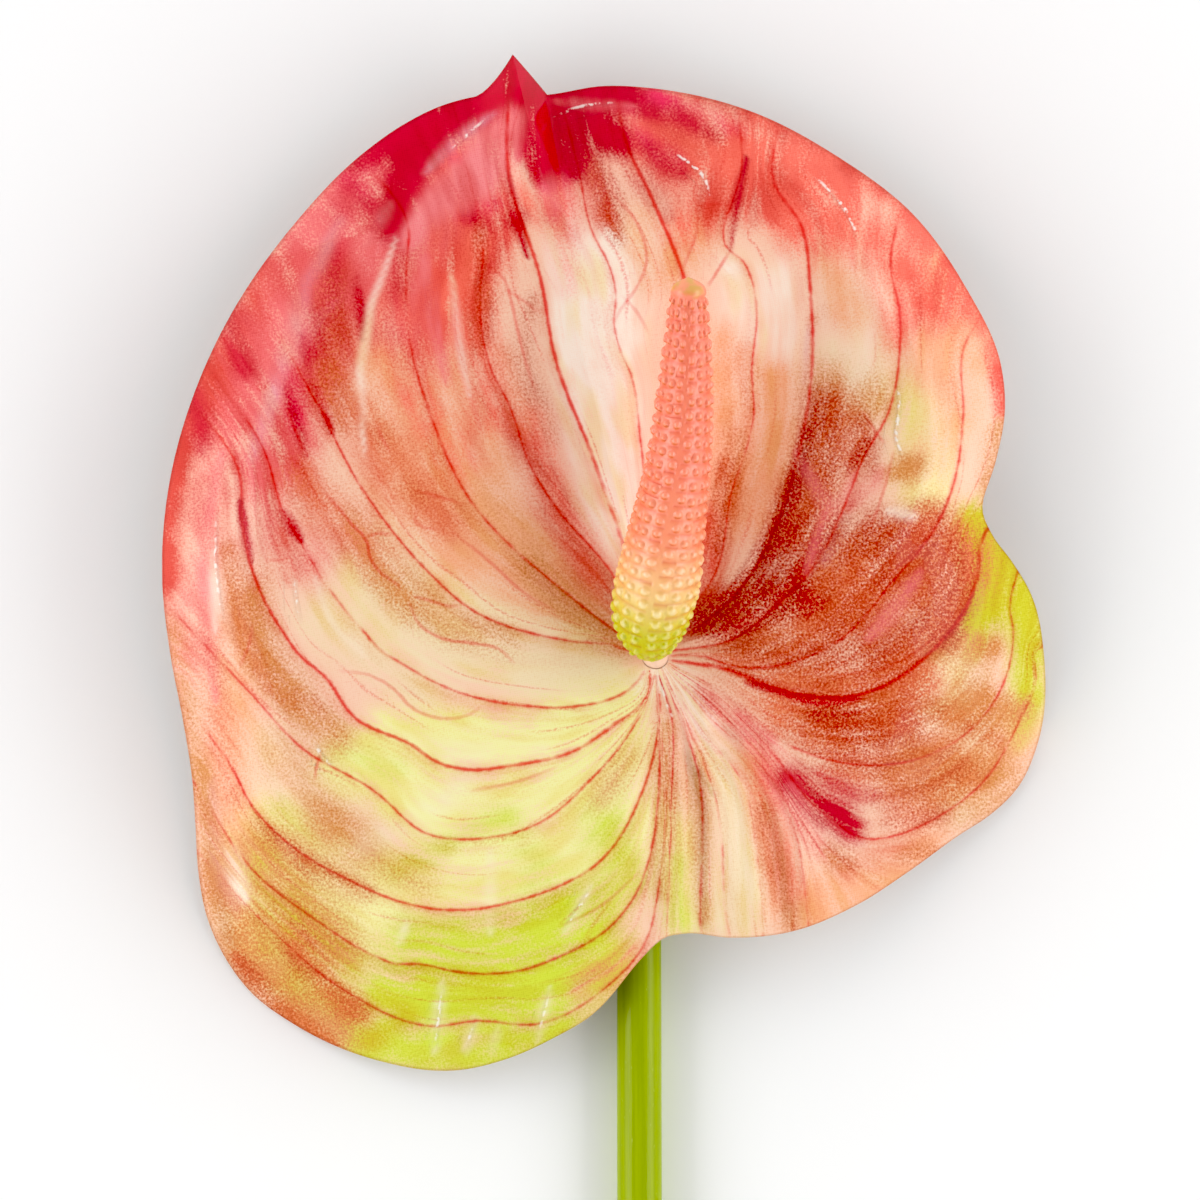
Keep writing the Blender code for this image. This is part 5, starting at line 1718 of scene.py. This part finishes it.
# painted highlight: white glints painted along the sharp creases, broken up by noise
painted_glint = creased * step_up(waver + 0.5, 0.36, 0.6)
skin = mixed(step_up(painted_glint, 0.25, 0.75) * GLINT_WHITE, skin, paint(255, 248, 240))
spathe_bump = spathe_finish.node(
    "ShaderNodeBump", {}, {"Distance": MM, "Height": creased * WRINKLE_HEIGHT})
spathe_mesh.materials.append(surface(spathe_finish, {
    "Base Color": skin, "Roughness": 0.30, "Specular IOR Level": 0.0, "Normal": spathe_bump,
    "Coat Weight": 0.4, "Coat Roughness": 0.07}))
print("the bract's finish has", len(spathe_finish.tree.nodes), "nodes")

# %% [markdown]
# ## Floor, light and camera
# The flower lies on a plain pale table, wide enough that no view sees its edge. A backdrop that
# curves up would do as well, but nothing here looks level enough to need one.

# %% The table
floor_mesh = bpy.data.meshes.new("table_top")
FLOOR_HALF = 30.0
floor_mesh.from_pydata(
    [(-FLOOR_HALF, -FLOOR_HALF, 0), (FLOOR_HALF, -FLOOR_HALF, 0), (FLOOR_HALF, FLOOR_HALF, 0),
     (-FLOOR_HALF, FLOOR_HALF, 0)], [], [(0, 1, 2, 3)])
table_top = bpy.data.objects.new("table_top", floor_mesh)
bpy.context.scene.collection.objects.link(table_top)
table_finish = Finish("table_paint")
floor_mesh.materials.append(surface(table_finish, {
    "Base Color": paint(252, 252, 252), "Roughness": 0.9, "Specular IOR Level": 0.0}))
table_top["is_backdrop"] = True
print("a table", 2 * FLOOR_HALF, "m wide")

# %% [markdown]
# ## Soft boxes and a dome
# Two long soft boxes stand left and right of the flower. A narrower strip in each is seen by
# gloss alone and gives a crisper streak. The dome is dark straight above, where a real camera
# would hang, so that flat glossy parts keep their deep colour. The black level of the view takes
# off the last of the haze.

# %% Light
BOX_LENGTH = 1.6
BOX_WIDTH = 0.5
BOX_DISTANCE = 1.0
BOX_ELEVATION = 32.0
BOX_POWER = 4.4
STRIP_WIDTH = 0.3
STRIP_POWER = 6.0
BLACK_LEVEL = 0.03
LIGHTS_FACE = (0.0, 0.12, 0.0)
DOME_STRENGTH = 1.15
DARK_FROM, DARK_AT = 0.62, 0.93
WHITE, DARK = (1.0, 1.0, 1.0, 1.0), (0.06, 0.06, 0.06, 1.0)


def add_box_light(name, side, width, power):
    """A long soft box beside the flower, facing it."""
    lamp = bpy.data.lights.new(name, "AREA")
    lamp.shape = "RECTANGLE"
    lamp.size = width
    lamp.size_y = BOX_LENGTH
    lamp.energy = power
    holder = bpy.data.objects.new(name, lamp)
    bpy.context.scene.collection.objects.link(holder)
    lean = math.radians(BOX_ELEVATION)
    target = Vector(LIGHTS_FACE)
    holder.location = target + Vector((side * math.cos(lean), 0.0, math.sin(lean))) * BOX_DISTANCE
    holder.rotation_euler = (0.0, side * (math.pi / 2 - lean), 0.0)
    holder.visible_camera = False
    return holder


for name, side in (("left", -1), ("right", 1)):
    add_box_light("box_" + name, side, BOX_WIDTH, BOX_POWER)
    add_box_light("strip_" + name, side, STRIP_WIDTH, STRIP_POWER).visible_diffuse = False

world = bpy.data.worlds.new("studio")
bpy.context.scene.world = world
sky = Finish("studio", owner=world)
direction = sky.node("ShaderNodeTexCoord", {}, out="Generated")
upwards = sky.node("ShaderNodeSeparateXYZ", {}, {0: direction}, out="Z")
dome = mixed(step_up(upwards, DARK_FROM, DARK_AT), WHITE, DARK)
glow = sky.node("ShaderNodeBackground", {}, {"Color": dome, "Strength": DOME_STRENGTH})
sky.node("ShaderNodeOutputWorld", {}, {"Surface": glow})
view = bpy.context.scene.view_settings
view.view_transform = "Standard"
view.use_curve_mapping = True
view.curve_mapping.black_level = (BLACK_LEVEL, BLACK_LEVEL, BLACK_LEVEL)
view.curve_mapping.update()
print("two soft boxes and a dome")

# %% [markdown]
# ## The camera
# The photograph looks straight at the flower's face with a long lens. The flower now lies face
# up, so the camera hangs straight above it, far away and with a long lens, which keeps the
# heights from spreading. Its middle is the middle of the photograph.

# %% The camera
PHOTO_MIDDLE = (-8.03, 8.468)
PHOTO_WIDTH = 175.2
CAMERA_HEIGHT = 3000.0
SHARP_HEIGHT = 8.0
SENSOR = 36.0
camera_data = bpy.data.cameras.new("camera")
camera_data.sensor_width = SENSOR
camera_data.lens = SENSOR * (CAMERA_HEIGHT - SHARP_HEIGHT) / PHOTO_WIDTH
camera_data.clip_end = 10.0
camera = bpy.data.objects.new("camera", camera_data)
camera.location = placed([*PHOTO_MIDDLE, CAMERA_HEIGHT])
bpy.context.scene.collection.objects.link(camera)
bpy.context.scene.camera = camera
print("lens", round(camera_data.lens), "mm")

# %% [markdown]
# ## Comparing sizes
# The dressed model has to keep the solids' size. The dressed box is measured and printed in
# millimetres.

# %% Sizes
dressed_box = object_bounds()
({"cad": [list(corner) for corner in cad_box],
           "visual": [list(corner) for corner in dressed_box]})
print("dressed box in mm:", [[round(side / MM, 2) for side in corner] for corner in dressed_box])
